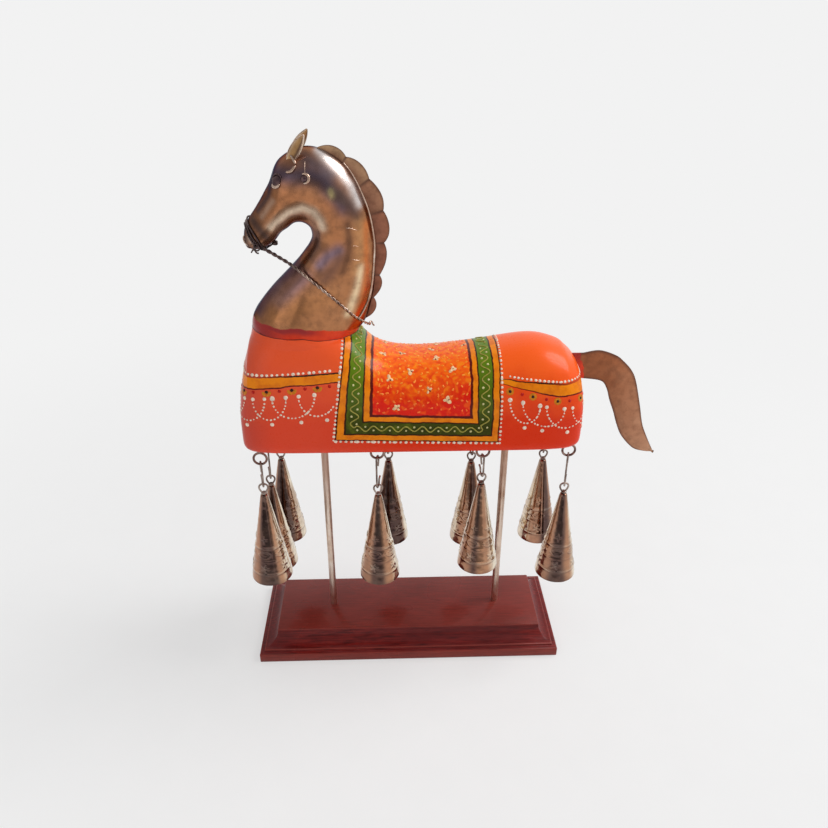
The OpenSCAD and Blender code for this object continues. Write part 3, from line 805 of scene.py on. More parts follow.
def buildRaisedPaint():
    white, black, maroon, halo, cream, leaf = (bmesh.new() for i in range(6))
    clear = dots["clear"]
    for side in (-1, 1):
        skip = clear if side > 0 else 0.0
        for xOf, corner in ((lambda z: leftEdge(z) - clear, -40), (lambda z: cloth["right"] + clear, 50)):
            dotRow(white, roundBack(xOf, side, bottomEdge(corner) - 1.3), dots["columnStep"],
                   dots["column"], skip=skip)
        bottom = bottomRow(side, leftEdge(168), cloth["right"], -clear)
        dotRow(white, bottom, dots["bottomStep"], dots["bottom"])
        for end, heightAt in (("front", frontAt), ("rump", rumpAt)):
            row = roundEnd(end, side, lambda x: heightAt(x, 0) + 1.7)
            dotRow(white, row, dots[end + "Step"], dots[end])
        spotsFront = roundEnd("frontSpots", side, lambda x: frontAt(x, 1) - 2.2)
        spotsRump = roundEnd("rumpSpots", side, lambda x: rumpAt(x, 1) - 3.2)
        for base, begin in ((spotsFront, 1.0), (spotsRump, 1.5)):
            marks = pathLength(base)
            number = int((marks[-1] - begin) / dots["spotStep"])
            for i in range(number + 1):
                p, run = walk(base, begin + i * dots["spotStep"] + random.uniform(-0.5, 0.5), marks)
                dark = i % 2 == (1 if base is spotsFront else 0)
                if dark and base is spotsFront:
                    for lean in (-1, 1):
                        leafRun = Vector((0, 0, -0.8)) - run * lean * 0.6
                        petalAt = p + run * lean * 1.35 - Vector((0, 0, 1.2))
                        addDot(halo, petalAt, dots["petal"], height=0.2, fine=True, stretch=1.8, run=leafRun)
                elif dark:
                    addDot(halo, p, dots["halo"], height=0.16, fine=True, run=run)
                addDot(black if dark else maroon, p, dots["spot"], height=0.36, run=run)
        scallops(white, side, "front", lambda x: frontAt(x, 1) - 6.8)
        scallops(white, side, "rump", lambda x: rumpAt(x, 1) - 8.2)
        # the vine runs down, along and up the middle of the green border
        border = cloth["right"] - cloth["rightPanel"]
        down = roundBack(lambda z: leftEdge(z) + (leftInner(z) - leftEdge(z)) * 0.49, side, 178.5)
        up = roundBack(lambda z: cloth["right"] - border * 0.49, side, 178.0)
        across = bottomRow(side, -32.0, 43.0, 7.6)
        vineAlong(leaf, cream, down + across[1:-1] + list(reversed(up)))
    for name, bm, finish, colour in (
            ("dots_white", white, "raised_white", paints["cream"]),
            ("dots_black", black, "raised_black", srgb(44, 24, 8)),
            ("dots_maroon", maroon, "raised_maroon", srgb(196, 16, 2)),
            ("petals_yellow", halo, "raised_yellow", srgb(222, 132, 12)),
            ("vine_dots", cream, "raised_pale", srgb(222, 212, 150)),
            ("vine_line", leaf, "raised_vine", paints["vine"])):
        addPiece(name, bm, paintOf(finish, colour), sharp=80)


# the panel's small flowers and brushed flecks
flowers = {"size": 1.4, "flecks": 290, "apart": 3.1, "thick": 0.82, "sunk": 0.5, "tries": 4000,
           "lowest": 188.5,
           "at": [(13.3, 0.7, 211.5), (15.7, -10, 210.7), (24.5, -19.4, 207.8), (0.8, -19, 207.1),
                  (10.9, -27.5, 199.3), (21.2, -30.3, 194.1), (32.1, 2.4, 213.4), (-3.5, -4.2, 211.5),
                  (-10.9, -23.8, 204.9), (-7.2, -31.7, 190.2), (-14.3, -8.3, 213.4)]}


def fleckMaterial():
    material, tree, shader = newMaterial("panel_flecks")
    speck = cloud(tree, place(tree), 300.0)
    low = mix(tree, remap(tree, speck, 0.3, 0.7), srgb(255, 108, 36), srgb(255, 140, 72))
    high = mix(tree, remap(tree, speck, 0.3, 0.7), srgb(255, 142, 22), srgb(255, 170, 56))
    feed(tree, shader.inputs["Base Color"], mix(tree, remap(tree, axes(tree)[2], 0.189, 0.21), low, high))
    shader.inputs["Roughness"].default_value = 0.4
    shader.inputs["Specular IOR Level"].default_value = 0.2
    bump(tree, shader, speck, 0.1, 0.0003)
    return material


def layAxes(normal):
    across = (Vector((1, 0, 0)) - normal * normal.x).normalized()
    return across, normal.cross(across)


def layFlowers(spec):
    petals, hearts, flecks = bmesh.new(), bmesh.new(), bmesh.new()
    taken = []
    spots = [Vector(p) for p in spec["at"]]
    spots += [Vector((x + 1.5, -y, z)) for x, y, z in spec["at"] if y < -5]  # the far side
    for spot in spots:
        at, normal = settle(spot)
        taken.append(at)
        count = random.choice((2, 3, 3, 4))
        across, up = layAxes(normal)
        begin = random.uniform(0, 6.28)
        for k in range(count):
            a = begin + 5.4 * k / count + random.uniform(-0.4, 0.4)
            run = across * math.cos(a) + up * math.sin(a)
            addDot(petals, at + run * spec["size"] * 0.85, spec["size"] * random.uniform(0.55, 0.95),
                   height=0.3, stretch=1.4, run=run)
        turn = begin + 3.14 / count
        run = across * math.cos(turn) + up * math.sin(turn)
        addDot(hearts, at + run * 0.9, 0.42, height=0.42, stretch=1.6, run=run)
    tries = 0
    while len(taken) < spec["flecks"] + len(spots) and tries < spec["tries"]:
        tries += 1
        x, side = random.uniform(-18.5, 33.5), random.choice((-1, 1))
        a = math.radians(90 - random.uniform(0, 88))
        ray = Vector((0, side * math.cos(a), math.sin(a)))
        hit = bodyTree.ray_cast(Vector((x, 0, core["panel"])), ray)[0]
        if hit is None or hit.z < spec["lowest"]:
            continue
        if min((hit - other).length for other in taken) < spec["apart"]:
            continue
        taken.append(hit)
        at, normal = settle(hit)
        across, up = layAxes(normal)
        begin, bend, size = random.uniform(0, 6.28), random.choice((-1, 1)), random.uniform(0.6, 1.15)
        path = []
        for k in range(6):
            turn = begin + bend * 1.9 * k / 5
            p = at + size * (across * math.cos(turn) + up * math.sin(turn))
            path.append(settle(p)[0] - normal * spec["sunk"])
        wire(flecks, path, lambda share: spec["thick"] * (1 - 0.3 * share), sides=6)
    for name, bm, material in (
            ("panel_flowers", petals, paintOf("raised_petals", srgb(255, 212, 160))),
            ("panel_hearts", hearts, paintOf("raised_hearts", srgb(120, 16, 4))),
            ("panel_flecks", flecks, fleckMaterial())):
        addPiece(name, bm, material, sharp=80)


buildRaisedPaint()
layFlowers(flowers)
print("raised paint laid on")

# pressed head and neck, from the same sections as the solid

# sections of the line: front x and z, back x and z, half width
neck = {"x": -58.0, "z": 226.0, "rings": 150, "arc": 44, "full": 0.12, "end": 12.9, "sheet": 0.9,
        "dents": 0.16, "line": [
            (-30, 0, 30, 0, 24.5), (-28.5, 10, 35, 8, 22), (-19, 23, 39, 23, 18.5), (-2.5, 40, 40.2, 40, 16),
            (5.8, 51, 39.8, 54, 15.5), (6.2, 57.5, 35.5, 72, 15.5), (2.8, 60.8, 25, 91, 15.5),
            (-1.8, 60.8, 8, 99.3, 15.3), (-6, 57.8, -7.5, 93.5, 14.3), (-9.7, 55.2, -14.5, 80.5, 12.5),
            (-14, 50.3, -21.5, 69.5, 10), (-19.5, 47, -27.8, 60.5, 8.5), (-25, 46.8, -29.6, 53, 6.5),
            (-29, 49, -29, 49, 0)]}
# colour, width, strength, share of matte surface and route of each stroke; the strokes are painted
# reflections, highlights and shade of the polished metal
patinaAndPaintedLight = {"base": (182, 124, 84), "strokes": [
    ((70, 72, 98), 5.5, 0.9, 0.15,
     [(-65.5, 313.5), (-56.4, 313), (-49.4, 314), (-43.1, 311.5), (-39.6, 306), (-34, 297.7)]),
    ((100, 98, 112), 3.2, 0.7, 0.15, [(-52, 321), (-44.5, 317.5), (-39, 313)]),
    ((70, 60, 62), 3.8, 0.85, 0.15, [(-35.4, 303.9), (-30.5, 298.5), (-26, 291)]),
    ((232, 226, 224), 2.3, 0.95, 0.2,
     [(-45.2, 324), (-39.6, 319), (-34, 313.8), (-29, 307), (-25, 298)]),
    ((196, 184, 124), 1.6, 0.8, 0.6, [(-39.4, 305.6), (-38.8, 303.6)]),
    ((182, 120, 80), 5.0, 0.85, 0.0,
     [(-76, 292), (-63.4, 303), (-52.9, 302.5), (-43, 298), (-37.5, 289.5), (-36.5, 279)]),
    ((150, 114, 98), 2.6, 0.6, 0.7,
     [(-69, 284), (-63, 292), (-56, 295), (-50, 292), (-48, 285), (-48, 277)]),
    ((250, 224, 196), 2.2, 0.95, 0.75,
     [(-71.5, 286.5), (-67, 290.6), (-61, 295.2),
      (-54, 297.6), (-48.6, 295.6), (-45.2, 291), (-44.4, 287.4)]),
    ((120, 110, 134), 3.5, 0.8, 0.2, [(-47, 267.5), (-42.4, 272.3), (-36.5, 275.5)]),
    ((104, 76, 72), 3.6, 0.65, 0.2, [(-36, 271), (-41, 263.3), (-45.2, 260)]),
    ((92, 62, 48), 2.1, 0.8, 0.2, [(-31.5, 289), (-30.8, 280), (-31.6, 272), (-35, 263.5)]),
    ((92, 72, 70), 2.0, 0.75, 0.3, [(-47, 284), (-48.2, 277), (-52, 270.5)]),
    ((206, 150, 100), 3.6, 0.8, 0.0, [(-25, 288), (-24.5, 274.3), (-27, 264)]),
    ((250, 222, 180), 2.0, 0.95, 0.2, [(-25, 265), (-27.5, 254), (-33, 240)]),
    ((222, 122, 58), 1.7, 0.65, 0.2, [(-22, 288), (-22.7, 260.6), (-25.5, 244.7), (-29, 237)]),
    ((88, 70, 82), 3.4, 0.85, 0.3, [(-58.5, 265), (-67.5, 257.5), (-76, 247), (-82, 240)]),
    ((136, 112, 124), 3.6, 0.7, 0.2, [(-54.3, 261), (-63.4, 252), (-70, 246)]),
    ((190, 130, 84), 6.0, 0.7, 0.0, [(-71.9, 241), (-56.4, 246.5), (-42, 250)]),
    ((72, 64, 70), 1.8, 0.85, 0.3, [(-68.8, 312), (-71.6, 302), (-78, 294)]),
    ((206, 170, 146), 1.5, 0.7, 0.3, [(-69, 300.5), (-76, 291.5)]),
    ((62, 50, 50), 3.8, 0.95, 0.5, [(-81, 289), (-77, 284.5), (-74.5, 281)]),
    ((104, 88, 86), 3.0, 0.85, 0.4, [(-87, 282), (-86, 277), (-84, 273.5)]),
    ((214, 196, 180), 1.5, 0.85, 0.6, [(-83.5, 280), (-80, 276.5), (-77.5, 276)])]}


def neckPoint(t, degrees, lift=0.0, side=-1):
    fx, fz, bx, bz, wide = curveAt(neck["line"], t)
    a = math.radians(degrees)
    half = Vector(((bx - fx) / 2, (bz - fz) / 2))
    length = max(half.length, 1e-6)
    p = Vector(((fx + bx) / 2, (fz + bz) / 2)) + half * ((length + lift) / length) * math.cos(a)
    y = max(wide + lift, 0) * math.sin(a) * (1 - neck["full"] * math.cos(a))
    return Vector((neck["x"] + p.x, side * y, neck["z"] + p.y))


def neckAround(t, degrees, lift):
    return neckPoint(t, min(degrees, 360 - degrees), lift, -1 if degrees < 180 else 1)


def neckCrest(t, out):
    fx, fz, bx, bz = curveAt(neck["line"], t)[:4]
    run = Vector((bx - fx, bz - fz)).normalized()
    return Vector((neck["x"] + bx + run.x * out, 0, neck["z"] + bz + run.y * out))


def strokeGap(x, z, route):
    p = Vector((x, z))
    best = 1e9
    for a, b in zip(route, route[1:]):
        a, b = Vector(a), Vector(b)
        run = b - a
        share = max(0.0, min(1.0, (p - a).dot(run) / run.dot(run)))
        best = min(best, (a + run * share - p).length)
    return best


# bronze base colour with painted reflections, highlights and shade laid over it in soft strokes
def paintedLightTint(spec, x, z):
    # the fourth channel holds how much bare metal shows
    tint = Vector((*srgb(*spec["base"])[:3], 1.0))
    for colour, width, strength, dull, route in spec["strokes"]:
        gap = strokeGap(x, z, route) / width
        if gap < 2.2:
            tint = tint.lerp(Vector((*srgb(*colour)[:3], 1 - dull)), strength * math.exp(-gap ** 2 * 1.1))
    return tint


def lapPaint(tree, shader, coverage, wearAndShade, bare=1.0):
    # red body paint that laps over a metal foot or root, turning maroon where the second mask is high:
    # painted shade on the neck's foot, and darker towards the top on the tail root
    broad = cloud(tree, place(tree), 60.0, 3.0)
    red = mix(tree, remap(tree, broad, 0.35, 0.7), srgb(234, 78, 44), srgb(206, 56, 34))
    red = mix(tree, times(tree, wearAndShade, 0.8), red, srgb(138, 50, 54))
    tintOver(tree, shader, coverage, red)
    shader.inputs["Specular IOR Level"].default_value = 0.2
    feed(tree, shader.inputs["Metallic"], times(tree, minus(tree, 1.0, coverage), bare))


def neckMaterial():
    tones = (84, 58, 48), (142, 96, 72), (186, 146, 118)
    material, tree, shader = metalMaterial("pressed_bronze", tones, 38.0, rough=(0.16, 0.3), tinted=True,
                                           bumps=0.05)
    # the paint's upper edge is arched and hand-drawn
    split = axes(tree)
    off = plus(tree, split[0], 0.066)
    arch = times(tree, times(tree, off, off), remap(tree, off, -0.004, 0.004, -3.0, 3.9))
    level = plus(tree, plus(tree, split[2], arch), wander(tree, place(tree), 110.0, 4.0, 0.0028))
    # painted shade: maroon along the paint's upper edge and over the left end of the neck's foot
    wearAndShade = times(tree, remap(tree, level, 0.23, 0.233), remap(tree, split[0], -0.044, -0.058))
    wearAndShade = calc(tree, "MAXIMUM", wearAndShade, remap(tree, split[0], -0.064, -0.08))
    bare = add(tree, "Attribute", attribute_name="patinaAndPaintedLight").outputs["Alpha"]
    lapPaint(tree, shader, remap(tree, level, 0.2341, 0.2347, 1.0, 0.0), wearAndShade, bare)
    shader.inputs["Specular Tint"].default_value = (0.16, 0.24, 0.36, 1.0)  # darker, greyer outline
    return material


def buildNeck(spec, side, name, stands, material):
    rings = []
    for i in range(spec["rings"] + 1):
        t = spec["end"] * i / spec["rings"]
        rings.append([neckPoint(t, 180 * k / spec["arc"], side=side) for k in range(spec["arc"] + 1)])
    bm = bmesh.new()
    loft(bm, rings, closed=False)
    turnOut(bm, max(bm.faces, key=lambda f: abs(f.calc_center_median().y)), Vector((0, side, 0)))
    colour = bm.verts.layers.float_color.new("patinaAndPaintedLight")
    for v in bm.verts:
        v[colour] = paintedLightTint(patinaAndPaintedLight, v.co.x, v.co.z)
        if abs(v.co.y) > 1:
            v.co += v.normal * spec["dents"] * noise.noise(v.co * 0.16)
    tree = BVHTree.FromBMesh(bm)
    bmesh.ops.solidify(bm, geom=bm.faces, thickness=spec["sheet"])
    addPiece(name, bm, material, stands=stands, sharp=50)
    return tree


neckMetal = neckMaterial()
neckTrees = {}
for side, hand in ((-1, "left"), (1, "right")):
    neckTrees[side] = buildNeck(neck, side, f"neck_{hand}_pressed", [f"neck_{hand}_half"], neckMetal)
print("head and neck pressed")

# face: eyes, rosettes, strap marks, ear seats, the seam bead and the lips; the pale half rims on the eyes and
# rosettes are painted highlights

# strokes: route, thickness and lift; lips: from and to in degrees round the muzzle, and thickness
face = {"eyeAt": (8.2, 59), "eye": 2.2, "rosetteAt": (6.9, 72), "rosette": 2.3, "hem": 0.36, "fillet": 4.5,
        "strokes": [([(-60.6, 322.3), (-58.2, 321), (-56.2, 318.2)], 0.85, 0.5),
                    ([(-61.2, 314.4), (-58.6, 314.9), (-56.3, 317.4)], 0.8, 0.5),
                    ([(-51.7, 319.6), (-51.8, 317), (-51.7, 314.4)], 0.2, -0.05),
                    ([(-32.4, 287.2), (-29.5, 286.6), (-26.7, 285.2)], 0.14, 0.0),
                    ([(-29.2, 277.6), (-27.8, 277.3), (-26.3, 276.8)], 0.12, 0.0),
                    ([(-29.8, 270.4), (-27.8, 269.6), (-25.9, 269.1)], 0.14, 0.0)],
        "lips": [(0, 92, 0.72), (180, 140, 0.62)],
        "seam": [(1.1, 34), (1.5, 27), (2, 21), (3, 17), (4.2, 11), (5.3, 6.5), (6, 5)]}


def tangents(tree, point):
    at, normal = tree.find_nearest(point)[:2]
    along, up = layAxes(normal)
    if up.z < 0:
        up = -up
    return at, along, up, normal


def swelling(thick, least, power=0.6):
    return lambda share: thick * (least + (1 - least) * math.sin(math.pi * share) ** power)


def faceArc(bm, tree, centre, radius, fromDeg, toDeg, thick, lift=0.3):
    at, along, up = tangents(tree, centre)[:3]
    path = []
    for i in range(21):
        a = math.radians(fromDeg + (toDeg - fromDeg) * i / 20)
        p = at + radius * (along * math.cos(a) + up * math.sin(a))
        spot, facing = tree.find_nearest(p)[:2]
        path.append(spot + facing * lift)
    wire(bm, path, swelling(thick, 0.35))


def dome(bm, tree, centre, radius, height):
    at, along, up, normal = tangents(tree, centre)
    turn = Matrix((along, up, normal)).transposed().to_4x4()
    size = Matrix.Diagonal((radius, radius, height, 1.0))
    bmesh.ops.create_uvsphere(bm, u_segments=24, v_segments=12, radius=1.0,
                              matrix=Matrix.Translation(at) @ turn @ size)


def buildFace(spec):
    bright, dark, brown = bmesh.new(), bmesh.new(), bmesh.new()
    for side in (-1, 1):
        tree = neckTrees[side]
        eye = neckPoint(*spec["eyeAt"], side=side)
        # the pale arc under the eye is a painted highlight, the brown arc over it painted shade of the same
        # rim
        dome(brown, tree, eye + Vector((-0.2, 0, 1.3)), spec["eye"] * 1.25, spec["eye"] * 0.36)
        faceArc(bright, tree, eye + Vector((0.2, 0, 0.4)), spec["eye"] * 1.1, 190, 335, 0.85, lift=0.5)
        faceArc(brown, tree, eye + Vector((-0.2, 0, 1.5)), spec["eye"] * 1.5, 15, 170, 0.45)
        rosette = neckPoint(*spec["rosetteAt"], side=side)
        dome(brown, tree, rosette, 1.9, 1.0)
        # the pale half ring on one side of the rosette is a painted highlight
        faceArc(bright, tree, rosette, spec["rosette"], -100, 115, 0.85, lift=0.5)
        for route, thick, lift in spec["strokes"]:
            path = []
            for x, z in smoothCurve(route, 12):
                spot, facing = tree.ray_cast(Vector((x, side * 40, z)), Vector((0, -side, 0)))[:2]
                path.append(spot + facing * (lift if facing.y * side > 0 else -lift))
            wire(bright, path, swelling(thick, 0.4))
        seam = [neckPoint(*curveAt(spec["seam"], 6 * i / 60), 0.15, side) for i in range(61)]
        wire(bright, seam, swelling(0.75, 0.5, 1))
        nostril = neckPoint(11.75, 48, side=side)
        faceArc(bright, tree, nostril, 1.3, 60, 300, 0.45)
        dome(dark, tree, nostril, 0.9, 0.35)
        mouth = [neckPoint(12.92 - 0.07 * i, 96 + 1.4 * i, 0.1, side) for i in range(16)]
        wire(dark, mouth, lambda share: 0.5 - 0.2 * share, sides=6)
        for middle, corner, thick in spec["lips"]:
            turn = (corner - middle) / 12
            lip = [neckPoint(12.5 - 0.055 * i, middle + turn * i, 0.1, side) for i in range(13)]
            wire(bright, lip, lambda share: thick * (1 - 0.55 * share))
    addPiece("face_relief", bright, brightMetal)
    addPiece("face_dark", dark, eyeMetal)
    addPiece("eye_domes", brown, domeMetal)


def buildNeckFoot(spec):
    # a painted fillet between neck and body, with a thin crack along its upper edge
    hem, swell, skirt = [], [], []
    for a in (3.75 * k for k in range(96)):
        level = spec["hem"] * (1 - min(1.0, 1.45 * max(0.0, math.cos(math.radians(a)))))
        level += 0.05 * noise.noise(Vector((a * 0.06, 0, 3)))
        hem.append(neckAround(0.05 + level, a, 0.02))
        swell.append(neckAround(0.02, a, 0.5))
        skirt.append(settle(neckAround(0.0, a, spec["fillet"] * (0.3 + level / spec["hem"])))[0])
    rings = []
    for f in (i / 8 for i in range(9)):
        rings.append([h * (1 - f) ** 2 + s * 2 * f * (1 - f) + k * f ** 2
                      for h, s, k in zip(hem, swell, skirt)])
    filler = bmesh.new()
    loft(filler, rings, caps=False)
    turnOut(filler, max(filler.faces, key=lambda f: -f.calc_center_median().y), Vector((0, -1, 0)))
    addPiece("neck_filler", filler, bodyPaint, sharp=80)
    crack = bmesh.new()
    wire(crack, hem, lambda share: 0.17 + 0.13 * noise.noise(Vector((share * 24, 0, 7))), sides=6, loop=True)
    addPiece("hem_crack", crack, paintOf("hem_brown", srgb(96, 30, 20)))


# pale bronze for raised rims, beads and lips: partly rubbed metal, and on the half rims a painted highlight
brightMetal = metalMaterial("rubbed_bronze_and_highlight", ((150, 116, 98), (206, 176, 156), (240, 222, 208)), 90.0,
                            rough=(0.18, 0.32))[0]
domeMetal = metalMaterial("eye_bronze", ((74, 58, 66), (104, 82, 84), (140, 108, 98)), 160.0)[0]
buildFace(face)
buildNeckFoot(face)
print("face relief made")

# mane, tail and ears of sheet metal

mane = {"width": 9.3, "root": 1.0, "sheet": 0.9, "rows": 8, "steps": 14, "camber": 0.35,
        "at": [0.84, 1.31, 1.72, 2.14, 2.48, 3.08, 3.67, 4.13, 4.6, 4.96, 5.35, 5.67, 6.03, 6.41, 6.8],
        "short": [9.4, 5.7, 8.5, 5.1, 6.7, 3.1, 4.4, 0.5, 1.8, 0, 2.5, 2.3, 6.1, 5.3, 9.7]}
tail = {"x": 103.5, "z": 200.5, "sheet": 0.9, "tang": 14.5, "columns": 64, "rows": 10, "camber": 0.7,
        "top": [(0, 8), (9.5, 9.5), (19.4, 6.3), (24.7, 2.3), (30.2, -3.7), (33.9, -11.2), (38.7, -27.7),
                (42, -40.3), (45.8, -49), (50.2, -57.6), (52, -60.8)],
        "low": [(0, -8.3), (11.9, -10.1), (16.2, -14.9), (19.1, -23.1), (22.6, -31.5), (25.7, -40.1),
                (30, -48.8), (38.2, -57.7), (46, -60.3), (52, -60.8)]}
ear = {"at": (7.45, 34), "tilt": 8, "lean": 32, "turn": 150, "half": 3.0, "high": 14.0, "cut": 4.9,
       "sunk": 2.0, "curl": 6.5, "sheet": 0.9, "rows": 20, "across": 12, "rim": 0.26}


def blend(a, b, share):
    share = max(0.0, min(1.0, share))
    return tuple(x + (y - x) * share for x, y in zip(a, b))


def sheet(name, columns, thickness, material, stands):
    # an open sheet from columns of points with their tones, thickened to its gauge
    bm = bmesh.new()
    loft(bm, [[p for p, tone in column] for column in columns], closed=False)
    colour = bm.verts.layers.float_color.new("patinaAndPaintedLight")
    tones = {tuple(round(c, 4) for c in p): tone for column in columns for p, tone in column}
    for v in bm.verts:
        v[colour] = (*srgb(*tones[tuple(round(c, 4) for c in v.co)])[:3], 1.0)
    bmesh.ops.remove_doubles(bm, verts=bm.verts, dist=0.01)
    bmesh.ops.recalc_face_normals(bm, faces=bm.faces)
    bmesh.ops.solidify(bm, geom=bm.faces, thickness=thickness)
    bmesh.ops.recalc_face_normals(bm, faces=bm.faces)
    addPiece(name, bm, material, stands=stands, sharp=45)


def buildMane(spec):
    line = [(a, spec["width"] - s) for a, s in zip(spec["at"], spec["short"])]
    count = (len(line) - 1) // 2
    columns = []
    for s in range(count):
        a, b, c = (Vector(line[2 * s + k]) for k in range(3))
        for i in range(spec["steps"] + (s == count - 1)):
            f = i / spec["steps"]
            e = a * (1 - f) * (1 - 2 * f) + b * 4 * f * (1 - f) + c * f * (2 * f - 1)
            root, tip = neckCrest(e.x, -spec["root"]), neckCrest(e.x, e.y)
            column = []
            for k in range(spec["rows"] + 1):
                share = k / spec["rows"]
                p = root.lerp(tip, share)
                bow = spec["camber"] * math.sin(math.pi * f) * share
                p.y = -spec["sheet"] / 2 - bow + 0.1 * noise.noise(p * 0.3)
                high = s / (count - 1)
                tone = blend((164, 104, 82), (190, 156, 120), (high - 0.45) / 0.5)
                # darker towards the root: painted shade where the mane meets the neck
                tone = blend(tone, (118, 78, 64), 0.8 * (1 - share) ** 1.5)
                tone = blend(tone, (84, 58, 52), max(0.0, 1 - min(f, 1 - f) / 0.07) * (0.3 + 0.7 * share))
                tone = blend(tone, (112, 80, 66), 0.9 if k == spec["rows"] else 0)
                column.append((p, tone))
            columns.append(column)
    sheet("mane_scalloped", columns, spec["sheet"], leafMetal, ["mane"])


def buildTail(spec):
    columns = []
    lastTop, lastLow = len(spec["top"]) - 1, len(spec["low"]) - 1
    for i in range(-2, spec["columns"] + 1):
        share = max(i, 0) / spec["columns"]
        top, low = curveAt(spec["top"], lastTop * share), curveAt(spec["low"], lastLow * share)
        shift = -spec["tang"] * (-i) / 2 if i < 0 else 0
        column = []
        for k in range(spec["rows"] + 1):
            f = k / spec["rows"]
            p = Vector((spec["x"] + shift + top[0] + (low[0] - top[0]) * f, 0,
                        spec["z"] + top[1] + (low[1] - top[1]) * f))
            bow = spec["camber"] * math.sin(math.pi * f) * min(1, share * 5)
            crease = 0.35 * share * noise.noise(Vector((p.x * 0.08, f * 2.6, p.z * 0.3)))
            p.y = -spec["sheet"] / 2 - bow - crease
            tone = blend((170, 104, 70), (202, 152, 122), share * 1.35 - 0.25)
            tone = blend(tone, (222, 178, 148), 0.6 * max(0, noise.noise(p * 0.12)) * share)
            tone = blend(tone, (84, 58, 54), 0.75 if k in (0, spec["rows"]) else 0)
            column.append((p, tone))
        columns.append(column)
    sheet("tail_blade", columns, spec["sheet"], tailMetal, ["tail"])


def buildEar(spec, side, name, stands):
    turn = Matrix.Identity(4)
    for part, axis in (("lean", "Y"), ("tilt", "X"), ("turn", "Z")):
        turn = turn @ Matrix.Rotation(math.radians(spec[part]), 4, axis)
    move = Matrix.Translation(neckPoint(*spec["at"]) + Vector((-1.1, 0, -0.4))) @ turn
    leaf = spec["high"] + spec["cut"]
    arc = (leaf ** 2 / 4 + spec["half"] ** 2) / (2 * spec["half"])
    columns = []
    for j in range(spec["rows"] + 1):
        z = -spec["sunk"] + (spec["high"] + spec["sunk"] - 0.05) * j / spec["rows"]
        off = z - (leaf / 2 - spec["cut"])
        half = max(math.sqrt(max(arc ** 2 - off ** 2, 0)) - arc + spec["half"], 0.02)
        column = []
        for k in range(spec["across"] + 1):
            edge = 2 * k / spec["across"] - 1
            a = half * edge / spec["curl"]
            p = move @ Vector((spec["curl"] * math.sin(a), spec["curl"] * (1 - math.cos(a)), z))
            p.y *= -side
            # paler towards both curled edges and darker in a strip near one edge: painted highlight on the
            # edges and painted shade in the fold
            tone = blend((196, 154, 104), (236, 218, 196), abs(edge) ** 3)
            tone = blend(tone, (96, 70, 60), 0.75 * max(0, 1 - abs(k / spec["across"] - 0.2) / 0.2))
            column.append((p, tone))
        columns.append(column)
    sheet(name, columns, spec["sheet"], leafMetal, stands)
    return [column[0][0] for column in columns] + [column[-1][0] for column in reversed(columns)]


def tailMaterial(tones):
    material, tree, shader = metalMaterial("sheet_bronze_tail", tones, 45.0, rough=(0.32, 0.5), tinted=True)
    split = axes(tree)
    edge = plus(tree, split[0], wander(tree, place(tree), 120.0, 3.0, 0.006))
    edge = calc(tree, "MULTIPLY_ADD", split[2], 0.22, edge)
    lapPaint(tree, shader, remap(tree, edge, 0.1475, 0.1481, 1.0, 0.0), remap(tree, split[2], 0.2, 0.208))
    return material


leafTones = (96, 62, 48), (140, 94, 72), (172, 128, 102)
leafMetal = metalMaterial("sheet_bronze_leaf", leafTones, 45.0, rough=(0.3, 0.5), tinted=True)[0]
tailMetal = tailMaterial(leafTones)
buildMane(mane)
buildTail(tail)
earRims = bmesh.new()
for side, hand in ((-1, "left"), (1, "right")):
    rim = buildEar(ear, side, f"ear_{hand}_leaf", [f"{hand}_ear"])
    wire(earRims, rim[2:-2], ear["rim"], sides=6)
addPiece("ear_rims", earRims, brightMetal)
print("mane, tail and ears cut")

# wires: a noseband of three turns with its knots, and the twisted rein

# turns of the noseband: place along the muzzle, lift and sway
harness = {"noseAt": 10.9, "turns": [(-0.16, 0.75, 0.05), (0.02, 0.66, -0.03), (0.2, 0.8, -0.06)],
           "nose": 0.48, "rein": 0.46, "twist": 6.5,
           "route": [(-18.6, -9.3, 49.2), (-12, -11.2, 45.9), (-3.2, -13.4, 40.8), (7.4, -18.6, 33.5),
                     (16, -19.3, 26), (23.7, -17.1, 18), (28.9, -13.7, 11.7), (32.7, -8.7, 7.2),
                     (35.3, -3.2, 3.6), (36.2, 0, 2.2), (36, 2.2, 1.6)]}


def buildNoseband(spec):
    bm = bmesh.new()
    for along, lift, sway in spec["turns"]:
        path = []
        for a in (360 * k / 64 for k in range(64)):
            t = spec["noseAt"] + along + sway * math.sin(math.radians(a * 3))
            path.append(neckAround(t, a, lift))
        wire(bm, path, spec["nose"], loop=True)
    # a knot on the near cheek, its two cut ends, and a tail of wire to the chin knot
    knot = neckPoint(11.1, 112, 1.2)
    coil = []
    for a in (i * 0.45 for i in range(26)):
        across, out = math.cos(a) * 1.3 + 0.5 * a / 6, -0.25 * math.sin(2 * a) - 0.3
        coil.append(knot + Vector((across, out, math.sin(a) * 1.5 - 0.22 * a)))
    wire(bm, coil, spec["nose"] * 0.95)
    for cut in ((-1.0, -0.6, -2.2), (-2.6, -0.4, -3.4)):
        end = knot + Vector(cut)
        bend = knot.lerp(end, 0.5) + Vector((0, -0.8, 0.2))
        wire(bm, smoothCurve([knot, bend, end], 10), spec["nose"] * 0.85)
    wire(bm, [neckPoint(10.75 - 0.1 * i, 178, 0.6) for i in range(9)], spec["nose"])
    chin = neckPoint(9.95, 178, 0.7)
    coil = [chin + Vector((math.cos(a) * 1.1, math.sin(a) * 1.4, -0.1 * a + 0.3))
            for a in (i * 0.45 for i in range(30))]
    wire(bm, coil, spec["nose"] * 1.1)
    addPiece("noseband_wires", bm, darkWire, stands=["noseband"])


